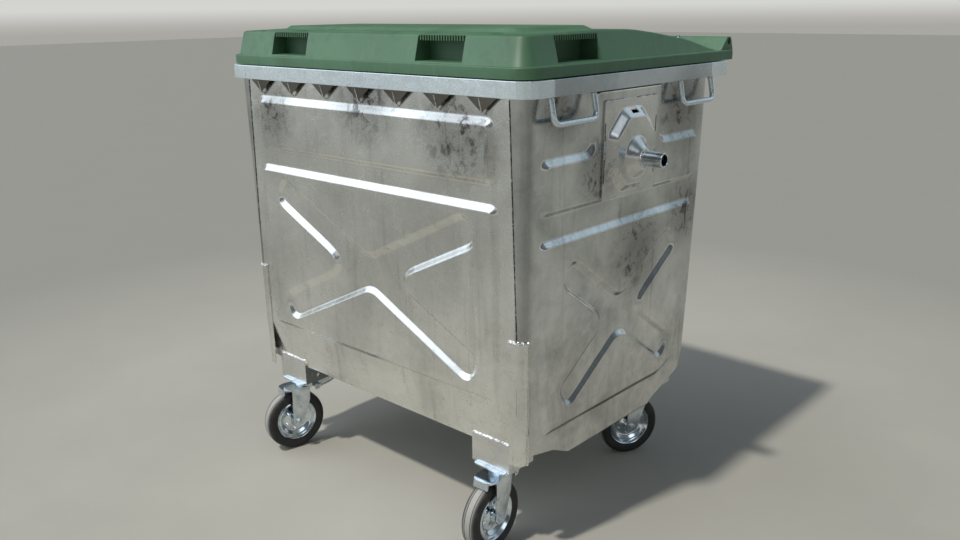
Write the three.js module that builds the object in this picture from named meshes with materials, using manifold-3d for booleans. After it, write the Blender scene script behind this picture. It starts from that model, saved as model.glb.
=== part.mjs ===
// A four-wheeled galvanised steel waste container with a hinged plastic lid.
// Millimetres, +Z up. X runs along the long front, which faces -Y. The wheels stand on Z = 0.
import * as THREE from 'three';
import { mergeVertices } from 'three/addons/utils/BufferGeometryUtils.js';
import Module from 'manifold-3d';

const wasm = await Module();
wasm.setup();

// ---------------------------------------------------------------- driving dimensions

const GAP = 0.3; // left between pieces that touch
const CLOSE = 0.01; // points nearer than this become one

// Tub of pressed sheet: half length and wall positions at the top edge, and how far each wall
// leans in for every millimetre further down.
const SHEET = 2;
const TUB_TOP = 1256.7;
const TUB_HALF_X = 569;
const TUB_FRONT_Y = -419.5;
const TUB_REAR_Y = 429;
const LEAN_X = 0.017;
const LEAN_FRONT = 0.0078;
const LEAN_REAR = 0.038;
const TUB_CORNER_R = 24;
const LOFT_BOTTOM = 200;
const SEAM_X_TOP = 522; // weld seam on the long walls, at the top
const SEAM_X_LOW = 541; // and at the corner sleeves
const FRONT_FOOT = [-392, 302];
const FRONT_TURN_IN = 0.164; // lean of the front wall's foot
const REAR_FOOT_Z = 325; // top edge of the floor pan at the rear
const FLOOR_Z = 247;
const SLEEVE_SHEET = 3;
const SLEEVE_TOP = 622;
const SLEEVE_BOTTOM = 283;
const SLEEVE_INNER_X = 514;
const SLEEVE_WRAP_Y = -392;
const DRAIN_AT = [300, 0];
const DRAIN_R = 27;

// Pressed-in features of the walls
const EMBOSS = 11;
const BEVEL = 13;
const PRESS_ROOT = 24; // how far a pad or cutter reaches past the surface it is joined to

// Folded rim around the top
const RIM_X = 599;
const RIM_FRONT_Y = -444;
const RIM_REAR_Y = 476;
const RIM_BOTTOM = 1220;
const RIM_TOP = 1260;
const RIM_R = 60;
const RIM_REAR_R = 12;
const RIM_SHEET = 3;
const RIM_LIP = 18;
const RIM_CORNER = 95;
const RIM_MOUTH = { x: 561, front: -412, rear: 419, fold: 25 };

// Comb-lift gussets under the front rim
const COMB_COUNT = 7;
const COMB_PITCH = 148.8;
const COMB_DEPTH = 38;
const COMB_HALF_WIDTH = 50;
const COMB_PLANE_Y = -430; // the plane of each gusset's outline

// Handles of round bar under the side rims
const HANDLE_R = 7.5;
const HANDLE_Z = 1157;
const HANDLE_TOP_X = RIM_X - 9;
const HANDLE_LOW_X = RIM_X + 3;
const HANDLE_BEND = 22;
const HANDLE_ENDS = { front: [-352, -184], rear: [222, 390] };

// Trunnions of the lifting arms
const TRUNNION_Z = 1038;
const TRUNNION_TIP_X = 685;
const TRUNNION_R = 20;
const TRUNNION_BORE_R = 15;
const TRUNNION_PLATE_HALF_Y = 122;
const TRUNNION_PLATE_Z = [936, 1190];
const TRUNNION_SHEET = 4;
const DISH = { halfY: 107, low: 949, high: 1167, chamfer: 62, height: 20, bevel: 22, cornerR: 34 };
const DISH_BASE = EMBOSS + GAP + TRUNNION_SHEET; // the plate's face, out from the end wall

// Casters
const WHEEL_R = 100;
const TYRE_HALF_WIDTH = 25;
const WHEEL_SEAT_R = 69;
const WHEEL_SIDES = 20;
const TRAIL = 55;
const AXLE_R = 6;
const CASTER_TOP = 240;
const CASTER_X = 437;
const CASTER_Y = 350;
const BRACKET_HALF_X = 66;
const BRACKET_FACE_Y = -399.8;
const BRACKET_BACK_Y = -300;
const BRACKET_SHEET = 4;

// Lid and its hinge
const LID_X = 592;
const LID_FRONT_Y = -440;
const LID_REAR_Y = 524;
const LID_BOTTOM = 1262.6;
const LID_LEDGE = 1290;
const LID_EDGE = 1362;
const LID_CROWN = 14; // raised field on the lid's top
const LID_WALL = 4;
const HINGE_Y = 499;
const HINGE_Z = 1314;
const HINGE_ROD_R = 7;
const HINGE_BORE_R = 9;
const LUG_X = [-420, 0, 420];
const LUG_THICK = 8;
const POCKET_Z = [1294, 1355];
const LID_POCKETS = [
  [-382, -520, -222, -374], [222, -520, 382, -374], [512, -309, 700, -139], [-700, -309, -512, -139],
];

// ---------------------------------------------------------------- materials

const metal = (color, roughness) => new THREE.MeshStandardMaterial({ color, roughness, metalness: 1 });
const plain = (color, roughness) => new THREE.MeshStandardMaterial({ color, roughness, metalness: 0 });
const galvanised = metal(0xa9a79c, 0.42);
const zincPlate = metal(0xb9c0c6, 0.25);
const rubber = plain(0x1b1a1c, 0.8);
const greenPlastic = plain(0x3f6b52, 0.45);
const drainPlastic = plain(0x20221f, 0.5);

// ---------------------------------------------------------------- geometry helpers

/** A manifold-3d solid from a closed three.js geometry. */
function toSolid(geometry) {
  const bare = geometry.clone();
  bare.deleteAttribute('normal');
  bare.deleteAttribute('uv');
  const merged = mergeVertices(bare, 1e-3);
  return new wasm.Manifold(new wasm.Mesh({
    numProp: 3,
    vertProperties: new Float32Array(merged.attributes.position.array),
    triVerts: new Uint32Array(merged.index.array),
  }));
}

/** A three.js geometry from a manifold-3d solid. */
function toGeometry(solid) {
  const mesh = solid.getMesh();
  const geometry = new THREE.BufferGeometry();
  geometry.setAttribute('position', new THREE.BufferAttribute(new Float32Array(mesh.vertProperties), 3));
  geometry.setIndex(new THREE.BufferAttribute(new Uint32Array(mesh.triVerts), 1));
  geometry.computeVertexNormals();
  return geometry;
}

/** A solid with points and edges that nearly meet drawn together. */
const simplified = (solid) => solid.asOriginal().simplify(CLOSE);

/** Joins solids one after another. */
const union = (...solids) => solids.reduce((sum, next) => sum.add(next));

/** A closed THREE.Shape through [x, y, radius] corners, each rounded by its radius. */
function rounded(corners, radius = 0) {
  const shape = new THREE.Shape();
  const count = corners.length;
  corners.forEach((corner, i) => {
    const here = new THREE.Vector2(corner[0], corner[1]);
    const before = new THREE.Vector2(...corners[(i + count - 1) % count].slice(0, 2)).sub(here);
    const after = new THREE.Vector2(...corners[(i + 1) % count].slice(0, 2)).sub(here);
    const r = corner[2] ?? radius;
    const cosine = before.dot(after) / before.length() / after.length();
    const halfAngle = Math.acos(THREE.MathUtils.clamp(cosine, -1, 1)) / 2;
    const reach = r / Math.tan(halfAngle);
    const start = before.setLength(reach).add(here);
    const end = after.setLength(reach).add(here);
    if (i === 0) shape.moveTo(start.x, start.y);
    else shape.lineTo(start.x, start.y);
    if (r > 0) shape.quadraticCurveTo(here.x, here.y, end.x, end.y);
  });
  return shape;
}

/** Corners of an upright rectangle. */
const rectangle = (x0, y0, x1, y1) => [[x0, y0], [x1, y0], [x1, y1], [x0, y1]];

/** An outline moved inward by a distance, edge by edge. Corners run anticlockwise. */
function inset(corners, distance) {
  const count = corners.length;
  return corners.map((corner, i) => {
    const before = corners[(i + count - 1) % count];
    const after = corners[(i + 1) % count];
    const u = new THREE.Vector2(corner[0] - before[0], corner[1] - before[1]).normalize();
    const v = new THREE.Vector2(after[0] - corner[0], after[1] - corner[1]).normalize();
    const normalU = new THREE.Vector2(-u.y, u.x);
    const normalV = new THREE.Vector2(-v.y, v.x);
    const bisector = normalU.clone().add(normalV).normalize();
    const reach = distance / bisector.dot(normalU);
    return [corner[0] + bisector.x * reach, corner[1] + bisector.y * reach, corner[2] ?? 0];
  });
}

/** A shape in the XY plane drawn out from one height to another. */
function alongZ(shape, from, to, curveSegments = 3) {
  const settings = { depth: to - from, bevelEnabled: false, curveSegments };
  return new THREE.ExtrudeGeometry(shape, settings).translate(0, 0, from);
}

/** A shape drawn in (Y, Z) and extended along X. */
function alongX(shape, from, to, curveSegments = 3) {
  const turn = new THREE.Matrix4().makeBasis(
    new THREE.Vector3(0, 1, 0), new THREE.Vector3(0, 0, 1), new THREE.Vector3(1, 0, 0));
  return alongZ(shape, from, to, curveSegments).applyMatrix4(turn);
}

/** A shape drawn in (X, Z) and extended along Y. */
function alongY(shape, from, to, curveSegments = 3) {
  const turn = new THREE.Matrix4().makeBasis(
    new THREE.Vector3(1, 0, 0), new THREE.Vector3(0, 0, 1), new THREE.Vector3(0, -1, 0));
  return alongZ(shape, -to, -from, curveSegments).applyMatrix4(turn);
}

/** A box between two corners. */
function block(x0, y0, z0, x1, y1, z1) {
  const geometry = new THREE.BoxGeometry(x1 - x0, y1 - y0, z1 - z0);
  return geometry.translate((x0 + x1) / 2, (y0 + y1) / 2, (z0 + z1) / 2);
}

/** A round bar along X, Y or Z. */
function bar(axis, radius, from, to, sides = 16) {
  const geometry = new THREE.CylinderGeometry(radius, radius, to - from, sides);
  geometry.translate(0, (from + to) / 2, 0);
  if (axis === 'x') geometry.rotateZ(-Math.PI / 2);
  if (axis === 'z') geometry.rotateX(Math.PI / 2);
  return geometry;
}

/** A cutter or pad that narrows by the bevel at both ends: z runs from -height to root + height. */
function pressing(shape, height = EMBOSS, bevel = BEVEL) {
  return new THREE.ExtrudeGeometry(shape, {
    depth: PRESS_ROOT,
    bevelThickness: height,
    bevelSize: bevel,
    bevelOffset: -bevel,
    bevelSegments: 1,
    curveSegments: 2,
  });
}

/** A profile of [radius, height] points turned about +Z, closed on itself or on the axis. */
function turned(profile, sides) {
  const points = profile.map(([r, z]) => new THREE.Vector2(r, z));
  return new THREE.LatheGeometry(points, sides).rotateX(Math.PI / 2);
}

const pieces = new THREE.Group();

/** Adds a named piece to a group. */
function addPiece(name, solidOrGeometry, material, group = pieces) {
  const geometry = solidOrGeometry.isBufferGeometry ? solidOrGeometry : toGeometry(solidOrGeometry);
  const mesh = new THREE.Mesh(geometry, material);
  mesh.name = name;
  group.add(mesh);
  return mesh;
}

// ---------------------------------------------------------------- tub

/** The four walls' flat frames: u runs to the right as seen from outside, v up, w outward. */
function wallFrame(side) {
  const frames = {
    front: { u: [1, 0, 0], w: [0, -1, 0], lean: LEAN_FRONT, at: [0, TUB_FRONT_Y, TUB_TOP] },
    rear: { u: [-1, 0, 0], w: [0, 1, 0], lean: LEAN_REAR, at: [0, TUB_REAR_Y, TUB_TOP] },
    right: { u: [0, 1, 0], w: [1, 0, 0], lean: LEAN_X, at: [TUB_HALF_X, 0, TUB_TOP] },
    left: { u: [0, -1, 0], w: [-1, 0, 0], lean: LEAN_X, at: [-TUB_HALF_X, 0, TUB_TOP] },
  };
  const { u, w, lean, at } = frames[side];
  const across = new THREE.Vector3(...u);
  const up = new THREE.Vector3(0, 0, 1).addScaledVector(new THREE.Vector3(...w), lean).normalize();
  const out = new THREE.Vector3().crossVectors(across, up);
  const foot = new THREE.Vector3(...at).addScaledVector(up, -TUB_TOP);
  return new THREE.Matrix4().makeBasis(across, up, out).setPosition(foot);
}

/** Walls with rounded upright corners that lean inward, as one solid block, inset by a distance. */
function wallBlock(distance) {
  const outline = rounded(rectangle(
    -TUB_HALF_X + distance, TUB_FRONT_Y + distance, TUB_HALF_X - distance, TUB_REAR_Y - distance,
  ), TUB_CORNER_R - distance);
  const geometry = alongZ(outline, LOFT_BOTTOM, TUB_TOP + 40, 4);
  const position = geometry.attributes.position;
  for (let i = 0; i < position.count; i += 1) {
    const x = position.getX(i);
    const y = position.getY(i);
    const drop = TUB_TOP - position.getZ(i);
    position.setX(i, x - Math.sign(x) * LEAN_X * drop);
    position.setY(i, y + (y < 0 ? LEAN_FRONT : -LEAN_REAR) * drop);
  }
  return toSolid(geometry);
}

/** The body's side profile in (Y, Z): turned-in front foot, sloping floor and curved rear foot. */
function floorProfile(distance) {
  const above = TUB_TOP + 400;
  const [bendY, bendZ] = [402, 540]; // the rear wall turns in below this
  const corners = [
    [FRONT_FOOT[0] - FRONT_TURN_IN * (above - FRONT_FOOT[1]), above],
    FRONT_FOOT,
    [-275, 279.5],
    [-207, FLOOR_Z, 20],
    [192, FLOOR_Z, 10],
    [222, 263],
    [302, 292],
    [362, 312, 25],
    [383, 365],
    [386, 400],
    [bendY, bendZ],
    [bendY + (above - bendZ) * 0.1, above],
  ];
  return toSolid(alongX(rounded(inset(corners, distance)), -700, 700));
}

/** A broad X centred on (x, y), with rounded arm ends and notches. */
function crossShape(x, y, reach, slope, halfWidth) {
  const tipR = halfWidth - 5;
  const sideNotchR = 40;
  const topNotchR = 60;
  const along = new THREE.Vector2(1, slope).normalize();
  const across = new THREE.Vector2(-along.y, along.x).multiplyScalar(halfWidth);
  const tip = along.clone().multiplyScalar(reach);
  const notchY = halfWidth / along.x;
  const notchX = halfWidth / along.y;
  const corners = [];
  const quarter = (sx, sy) => [
    [x + sx * (tip.x - across.x), y + sy * (tip.y - across.y), tipR],
    [x + sx * (tip.x + across.x), y + sy * (tip.y + across.y), tipR],
  ];
  corners.push(...quarter(1, 1), [x, y + notchY, topNotchR], ...quarter(-1, 1).reverse());
  corners.push([x - notchX, y, sideNotchR], ...quarter(-1, -1), [x, y - notchY, topNotchR]);
  corners.push(...quarter(1, -1).reverse(), [x + notchX, y, sideNotchR]);
  return rounded(corners);
}

const LONG_RAISED = [
  rounded([[-476, 1008], [476, 1008], [476, 1170], [-476, 1170]], 28),
  rounded([[-486, 440], [486, 440], [486, 962], [-486, 962]], 28),
];
const REAR_RAISED = [
  LONG_RAISED[0],
  rounded([[-486, 560], [486, 560], [486, 962], [-486, 962]], 28),
];
const END_RAISED = [
  rounded([
    [-359, 929], [366, 929], [366, 1070], [161, 1070, 30], [161, 1230], [-161, 1230],
    [-161, 1070, 30], [-359, 1070],
  ], 26),
  rounded([
    [-318, 338, 20], [230, 338, 50], [300, 366, 40], [330, 440, 50], [360, 560, 80], [360, 870],
    [-358, 870], [-342, 420, 40],
  ], 24),
];
const PRESSED_WALLS = [
  { side: 'front', raised: LONG_RAISED, sunk: crossShape(4, 704, 450, 0.48, 48) },
  { side: 'rear', raised: REAR_RAISED, sunk: crossShape(0, 761, 430, 0.32, 42) },
  { side: 'right', raised: END_RAISED, sunk: crossShape(2, 598, 314, 0.7, 44) },
];

/** The tub as one block with its pressed features, all but the left end's, inset by a distance. */
function tubBlock(distance) {
  let body = wallBlock(distance).intersect(floorProfile(distance));
  for (const { side, raised, sunk } of PRESSED_WALLS) {
    const frame = wallFrame(side);
    for (const shape of raised) {
      body = body.add(toSolid(pressing(shape).translate(0, 0, -PRESS_ROOT - distance).applyMatrix4(frame)));
    }
    body = body.subtract(toSolid(pressing(sunk).translate(0, 0, EMBOSS - distance).applyMatrix4(frame)));
  }
  return body;
}

/** Half of the long walls' outline between the corner seams, in (X, Z), grown sideways by a distance. */
function seamOutline(bottom, grow) {
  const half = [[SEAM_X_LOW + grow, bottom], [SEAM_X_LOW + grow, SLEEVE_TOP], [SEAM_X_TOP + grow, TUB_TOP]];
  return rounded([...half, ...half.map(([x, z]) => [-x, z]).reverse()]);
}

function buildTub() {
  const shell = tubBlock(0).subtract(tubBlock(SHEET));
  const half = GAP / 2;
  const far = 700;
  const frontCut = toSolid(alongY(seamOutline(FRONT_FOOT[1] + half, -half), -far, -200));
  const rearCut = toSolid(alongY(seamOutline(REAR_FOOT_Z + half, -half), 200, far));
  addPiece('front_panel', simplified(shell.intersect(frontCut)), galvanised);
  addPiece('rear_panel', simplified(shell.intersect(rearCut)), galvanised);

  const middle = toSolid(alongY(seamOutline(LOFT_BOTTOM - 10, half), -far, far));
  const rightHalf = toSolid(block(0, -far, 0, far, far, TUB_TOP));
  const end = simplified(shell.intersect(rightHalf).subtract(middle));
  addPiece('side_panel_right', end, galvanised);
  addPiece('side_panel_left', end.mirror([1, 0, 0]), galvanised);

  const floorZone = rounded([
    [-far, 100], [far, 100], [far, REAR_FOOT_Z - half], [0, REAR_FOOT_Z - half],
    [0, FRONT_FOOT[1] - half], [-far, FRONT_FOOT[1] - half],
  ]);
  const floorX = SEAM_X_LOW - half;
  const drainHole = bar('z', DRAIN_R + GAP, 200, 300, 16).translate(DRAIN_AT[0], DRAIN_AT[1], 0);
  const floor = shell.intersect(toSolid(alongX(floorZone, -floorX, floorX))).subtract(toSolid(drainHole));
  addPiece('floor_pan', floor, galvanised);
}

/** Straight sleeves welded round the lower front corners. */
function buildSleeves() {
  const wrap = wallBlock(-GAP - SLEEVE_SHEET).subtract(wallBlock(-GAP));
  for (const [name, sign] of [['right', 1], ['left', -1]]) {
    const inner = sign * SLEEVE_INNER_X;
    const outer = sign * 650;
    const [x0, x1] = [Math.min(inner, outer), Math.max(inner, outer)];
    const zone = toSolid(block(x0, -500, SLEEVE_BOTTOM, x1, SLEEVE_WRAP_Y, SLEEVE_TOP));
    addPiece(`corner_sleeve_${name}`, wrap.intersect(zone), galvanised);
  }
}

/** A flanged spigot through the floor, and the plug that closes it from below. */
function buildDrain() {
  const [x, y] = DRAIN_AT;
  const wall = 5;
  const flange = 9;
  const mouth = FLOOR_Z - 18;
  const seat = FLOOR_Z + SHEET + GAP;
  const top = seat + 2.7;
  const spigot = [[DRAIN_R - wall, mouth], [DRAIN_R, mouth], [DRAIN_R, seat], [DRAIN_R + flange, seat],
    [DRAIN_R + flange, top], [DRAIN_R - wall, top], [DRAIN_R - wall, mouth]];
  addPiece('drain_spigot', turned(spigot, 16).translate(x, y, 0), galvanised);
  const headBottom = mouth - 7;
  const stem = toSolid(bar('z', DRAIN_R - wall - 2 * GAP, headBottom, mouth + 17, 16));
  const head = toSolid(bar('z', DRAIN_R, headBottom, mouth - GAP, 16));
  const gripHalf = DRAIN_R - 4;
  const grip = toSolid(block(-gripHalf, -4, headBottom - 14, gripHalf, 4, headBottom + 3));
  addPiece('drain_plug', toGeometry(union(stem, head, grip)).translate(x, y, 0), drainPlastic);
}

// ---------------------------------------------------------------- rim, comb and handles

/** The rim's plan outline, moved inward by a distance. */
const rimOutline = (d) => rounded([
  [-RIM_X + d, RIM_FRONT_Y + d, RIM_R - d], [RIM_X - d, RIM_FRONT_Y + d, RIM_R - d],
  [RIM_X - d, RIM_REAR_Y - d, RIM_REAR_R - d], [-RIM_X + d, RIM_REAR_Y - d, RIM_REAR_R - d],
]);
const mouthOutline = (d) => rounded(
  rectangle(-RIM_MOUTH.x - d, RIM_MOUTH.front - d, RIM_MOUTH.x + d, RIM_MOUTH.rear + d), 20 + d);

/** Four lengths of folded channel; the front and rear ones are bent round the corners. */
function buildRim() {
  const zRange = (shape, from, to) => toSolid(alongZ(shape, from, to, 5));
  const outerSkin = zRange(rimOutline(0), RIM_BOTTOM, RIM_TOP);
  const channel = zRange(rimOutline(RIM_SHEET), 1200, RIM_TOP - RIM_SHEET)
    .subtract(zRange(mouthOutline(RIM_SHEET), 1190, 1300));
  const ring = outerSkin
    .subtract(zRange(mouthOutline(0), 1190, 1300))
    .subtract(channel)
    .subtract(zRange(mouthOutline(RIM_SHEET + 1), 1190, RIM_TOP - RIM_MOUTH.fold));
  const lipY = RIM_FRONT_Y + RIM_SHEET;
  const lipX = RIM_X - RIM_CORNER;
  const lip = toSolid(block(-lipX, lipY - 1, RIM_BOTTOM, lipX, lipY + RIM_LIP, RIM_BOTTOM + RIM_SHEET));
  const cutFront = RIM_FRONT_Y + RIM_CORNER;
  const cutRear = RIM_REAR_Y - RIM_CORNER;
  const h = GAP / 2;
  const zone = (x0, y0, x1, y1) => toSolid(block(x0, y0, 1150, x1, y1, 1300));
  const far = 700;
  const zones = {
    rim_front: zone(-far, -far, far, cutFront - h),
    rim_rear: zone(-far, cutRear + h, far, far),
    rim_left: zone(-far, cutFront + h, 0, cutRear - h),
    rim_right: zone(0, cutFront + h, far, cutRear - h),
  };
  for (const [name, cut] of Object.entries(zones)) {
    const stock = name === 'rim_front' ? ring.add(lip) : ring;
    addPiece(name, stock.intersect(cut), galvanised);
  }
}

/** Folded gussets: four-sided points hanging from the rim, each with a ridge down its front. */
function buildComb() {
  const top = RIM_BOTTOM - GAP;
  for (let i = 0; i < COMB_COUNT; i += 1) {
    const x = (i - (COMB_COUNT - 1) / 2) * COMB_PITCH;
    const corners = [
      [x - COMB_HALF_WIDTH, COMB_PLANE_Y, top], [x, RIM_FRONT_Y + RIM_SHEET, top],
      [x + COMB_HALF_WIDTH, COMB_PLANE_Y, top], [x, TUB_FRONT_Y - 2 * GAP, top],
      [x, COMB_PLANE_Y, RIM_BOTTOM - COMB_DEPTH],
    ];
    const geometry = new THREE.BufferGeometry();
    geometry.setAttribute('position', new THREE.Float32BufferAttribute(corners.flat(), 3));
    geometry.setIndex([0, 4, 1, 1, 4, 2, 2, 4, 3, 3, 4, 0, 0, 1, 2, 0, 2, 3]);
    addPiece(`comb_gusset_${i + 1}`, toSolid(geometry), galvanised);
  }
}

/** A bent round-bar handle hanging below the side rim. */
function handleGeometry(sign, y0, y1) {
  const [topX, lowX] = [HANDLE_TOP_X, HANDLE_LOW_X];
  const [topZ, lowZ] = [RIM_BOTTOM - GAP - 2, HANDLE_Z];
  const bend = HANDLE_BEND;
  const point = (x, y, z) => new THREE.Vector3(sign * x, y, z);
  const down = point(lowX - topX, 0, lowZ - topZ).normalize().multiplyScalar(bend);
  const path = new THREE.CurvePath();
  const corner0 = point(lowX, y0, lowZ);
  const corner1 = point(lowX, y1, lowZ);
  const leg0 = corner0.clone().sub(down);
  const leg1 = corner1.clone().sub(down);
  const flat0 = point(lowX, y0 + bend, lowZ);
  const flat1 = point(lowX, y1 - bend, lowZ);
  path.add(new THREE.LineCurve3(point(topX, y0, topZ), leg0));
  path.add(new THREE.QuadraticBezierCurve3(leg0, corner0, flat0));
  path.add(new THREE.LineCurve3(flat0, flat1));
  path.add(new THREE.QuadraticBezierCurve3(flat1, corner1, leg1));
  path.add(new THREE.LineCurve3(leg1, point(topX, y1, topZ)));
  const section = new THREE.Shape().absarc(0, 0, HANDLE_R, 0, Math.PI * 2);
  return new THREE.ExtrudeGeometry(section, { steps: 20, extrudePath: path, curveSegments: 4 });
}

function buildHandles() {
  for (const [side, sign] of [['right', 1], ['left', -1]]) {
    for (const [place, [y0, y1]] of Object.entries(HANDLE_ENDS)) {
      addPiece(`handle_${side}_${place}`, handleGeometry(sign, y0, y1), galvanised);
    }
  }
}

// ---------------------------------------------------------------- trunnions

/** Plate, raised octagonal dish and cone as one block, sunk by a distance, in the end wall's frame. */
function trunnionForm(sunk) {
  const [bottom, top] = TRUNNION_PLATE_Z;
  const { halfY, low, high, chamfer, height, bevel, cornerR } = DISH;
  const face = DISH_BASE - sunk;
  const octagon = rounded([
    [-halfY + chamfer, low], [halfY - chamfer, low], [halfY, low + chamfer], [halfY, high - chamfer],
    [halfY - chamfer, high], [-halfY + chamfer, high], [-halfY, high - chamfer], [-halfY, low + chamfer],
  ], cornerR);
  const cone = [[0, -8], [56, -8], [56, 0], [26, 25], [0, 25]];
  const half = TRUNNION_PLATE_HALF_Y;
  return union(
    toSolid(block(-half, bottom, face - 40, half, top, face)),
    toSolid(pressing(octagon, height, bevel).translate(0, 0, face - PRESS_ROOT)),
    toSolid(turned(cone, 20).translate(0, TRUNNION_Z, face + height)),
  );
}

function buildTrunnions() {
  const edge = TRUNNION_PLATE_HALF_Y - 4;
  const back = toSolid(block(-400, 800, -200, 400, 1300, EMBOSS + GAP));
  const vent = (v) => toSolid(block(-16, v - 9, DISH_BASE + 4, 16, v + 9, DISH_BASE + 40));
  const slot = (u, from, to) => toSolid(block(u - 2, TRUNNION_Z + from, 0, u + 2, TRUNNION_Z + to, 60));
  let plate = trunnionForm(0).subtract(trunnionForm(TRUNNION_SHEET)).subtract(back);
  for (const v of [DISH.high - 4, DISH.low + 4]) plate = plate.subtract(vent(v));
  for (const u of [-edge, edge]) plate = plate.subtract(slot(u, 53, 98)).subtract(slot(u, -57, 7));
  const tubeBack = TUB_HALF_X - LEAN_X * (TUB_TOP - TRUNNION_Z) + EMBOSS + 3 * GAP;
  const length = TRUNNION_TIP_X - tubeBack;
  const tube = [[TRUNNION_BORE_R, 0], [TRUNNION_R, 0], [TRUNNION_R, length], [TRUNNION_BORE_R, length],
    [TRUNNION_BORE_R, 0]];
  for (const [side, sign] of [['right', 1], ['left', -1]]) {
    const placed = toSolid(toGeometry(plate).applyMatrix4(wallFrame(side)));
    const reach = [sign * 500, sign * 800].sort((a, b) => a - b);
    const bore = bar('x', TRUNNION_R + 2 * GAP, reach[0], reach[1], 24).translate(0, 0, TRUNNION_Z);
    addPiece(`trunnion_plate_${side}`, placed.subtract(toSolid(bore)), galvanised);
    const pin = addPiece(`trunnion_${side}`, turned(tube, 20), galvanised);
    pin.rotation.y = sign * Math.PI / 2;
    pin.position.set(sign * tubeBack, 0, TRUNNION_Z);
  }
}

// ---------------------------------------------------------------- caster brackets and casters

/** A welded box bracket under a corner; drawn for the front and turned round for the rear. */
function bracketSolid(gussetOutline, plateTop) {
  const half = BRACKET_HALF_X;
  const face = BRACKET_FACE_Y;
  const t = BRACKET_SHEET;
  const bottom = CASTER_TOP + GAP;
  const front = toSolid(block(-half, face, bottom, half, face + t, plateTop));
  const base = toSolid(block(-half, face, bottom, half, BRACKET_BACK_Y, bottom + t));
  const gusset = (x) => toSolid(alongX(rounded(gussetOutline), x, x + t));
  const hole = toSolid(bar('x', 7, -200, 200, 12).translate(0, (face + BRACKET_BACK_Y) / 2, bottom + 20));
  return union(front, base, gusset(-half), gusset(half - t)).subtract(hole);
}

function buildBrackets() {
  const bottom = CASTER_TOP + 2 * GAP;
  const frontGusset = [[BRACKET_FACE_Y + 1, bottom], [BRACKET_BACK_Y, bottom], [BRACKET_BACK_Y, 283.6],
    [-391.2, 301], [BRACKET_FACE_Y + 1, 301]];
  const rearGusset = [[BRACKET_FACE_Y + 1, bottom], [BRACKET_BACK_Y, bottom], [BRACKET_BACK_Y, 290.4],
    [-350.9, 307.3], [-361.6, 313], [-367.8, 322.6], [-384.1, 364.5], [-385.6, 380],
    [BRACKET_FACE_Y + 1, 322]];
  const front = toGeometry(bracketSolid(frontGusset, 322));
  const rear = toGeometry(bracketSolid(rearGusset, 322)).rotateZ(Math.PI);
  for (const [side, sign] of [['left', -1], ['right', 1]]) {
    addPiece(`caster_bracket_front_${side}`, front.clone().translate(sign * CASTER_X, 0, 0), galvanised);
    addPiece(`caster_bracket_rear_${side}`, rear.clone().translate(sign * CASTER_X, 0, 0), galvanised);
  }
}

const FORK_INNER = TYRE_HALF_WIDTH + 6;
const FORK_SHEET = 5;
const CROWN_BOTTOM = 211;
const PEDAL_PIVOT = [25, 199.5];

/** Mounting plate with the swivel pin in its middle. */
function casterPlate() {
  const plate = toSolid(alongZ(rounded(rectangle(-60, -53, 60, 53), 8), CASTER_TOP - 5, CASTER_TOP));
  return plate.add(toSolid(bar('z', 8, CROWN_BOTTOM - 5, CASTER_TOP - 3, 12)));
}

/** Swivel fork: ball race, crown, two legs and a turned-down tail. The wheel trails towards -X. */
function casterFork(withBrake) {
  const axleX = -TRAIL;
  const outer = FORK_INNER + FORK_SHEET;
  const crownTop = CROWN_BOTTOM + FORK_SHEET;
  const race = toSolid(bar('z', 40, crownTop - 2, CASTER_TOP - 5 - GAP, 16));
  const crown = toSolid(alongZ(rounded([[-95, -26, 12], [-70, -outer, 6], [30, -outer, 20], [44, -18, 10],
    [44, 18, 10], [30, outer, 20], [-70, outer, 6], [-95, 26, 12]]), CROWN_BOTTOM, crownTop, 1));
  const legOutline = rounded([[axleX - 16, crownTop - 1, 0], [axleX - 16, 84, 12], [axleX + 15, 84, 12],
    [axleX + 45, 168, 20], [axleX + 49, crownTop - 1, 0]]);
  const leg = (y) => toSolid(alongY(legOutline, y, y + FORK_SHEET, 2));
  const tail = toSolid(alongY(rounded([[-98, 196], [-94, 196], [-90, 213], [-94, 215]]), -24, 24));
  const parts = [race, crown, leg(FORK_INNER), leg(-outer), tail];
  const ear = (y) => toSolid(alongY(rounded([[14, 213], [18, 193], [32, 193], [36, 213]]), y, y + 4));
  if (withBrake) parts.push(ear(25), ear(-29));
  let fork = union(...parts)
    .subtract(toSolid(bar('y', AXLE_R + GAP, -60, 60, 12).translate(axleX, 0, WHEEL_R)))
    .subtract(toSolid(bar('z', 8 + GAP * 2, 190, 250, 12)));
  if (withBrake) {
    const [x, z] = PEDAL_PIVOT;
    fork = fork.subtract(toSolid(bar('y', 3 + GAP, -40, 40, 8).translate(x, 0, z)));
  }
  return fork;
}

/** Axle bolt with a hexagonal head and nut. */
function axleBolt() {
  const seat = FORK_INNER + FORK_SHEET + GAP;
  const hexagon = (from, to) => toSolid(bar('y', 10, from, to, 6));
  const shank = toSolid(bar('y', AXLE_R, -seat - 8, seat + 8, 12));
  return union(shank, hexagon(seat, seat + 6), hexagon(-seat - 6, -seat));
}

/** A wheel part turned about Y with a flat of its polygon at the bottom. */
function wheelPart(profile) {
  const grow = 1 / Math.cos(Math.PI / WHEEL_SIDES);
  const points = profile.map(([r, y]) => new THREE.Vector2(r * grow, y));
  points.push(points[0].clone());
  return new THREE.LatheGeometry(points, WHEEL_SIDES).rotateY(Math.PI / WHEEL_SIDES);
}

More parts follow.
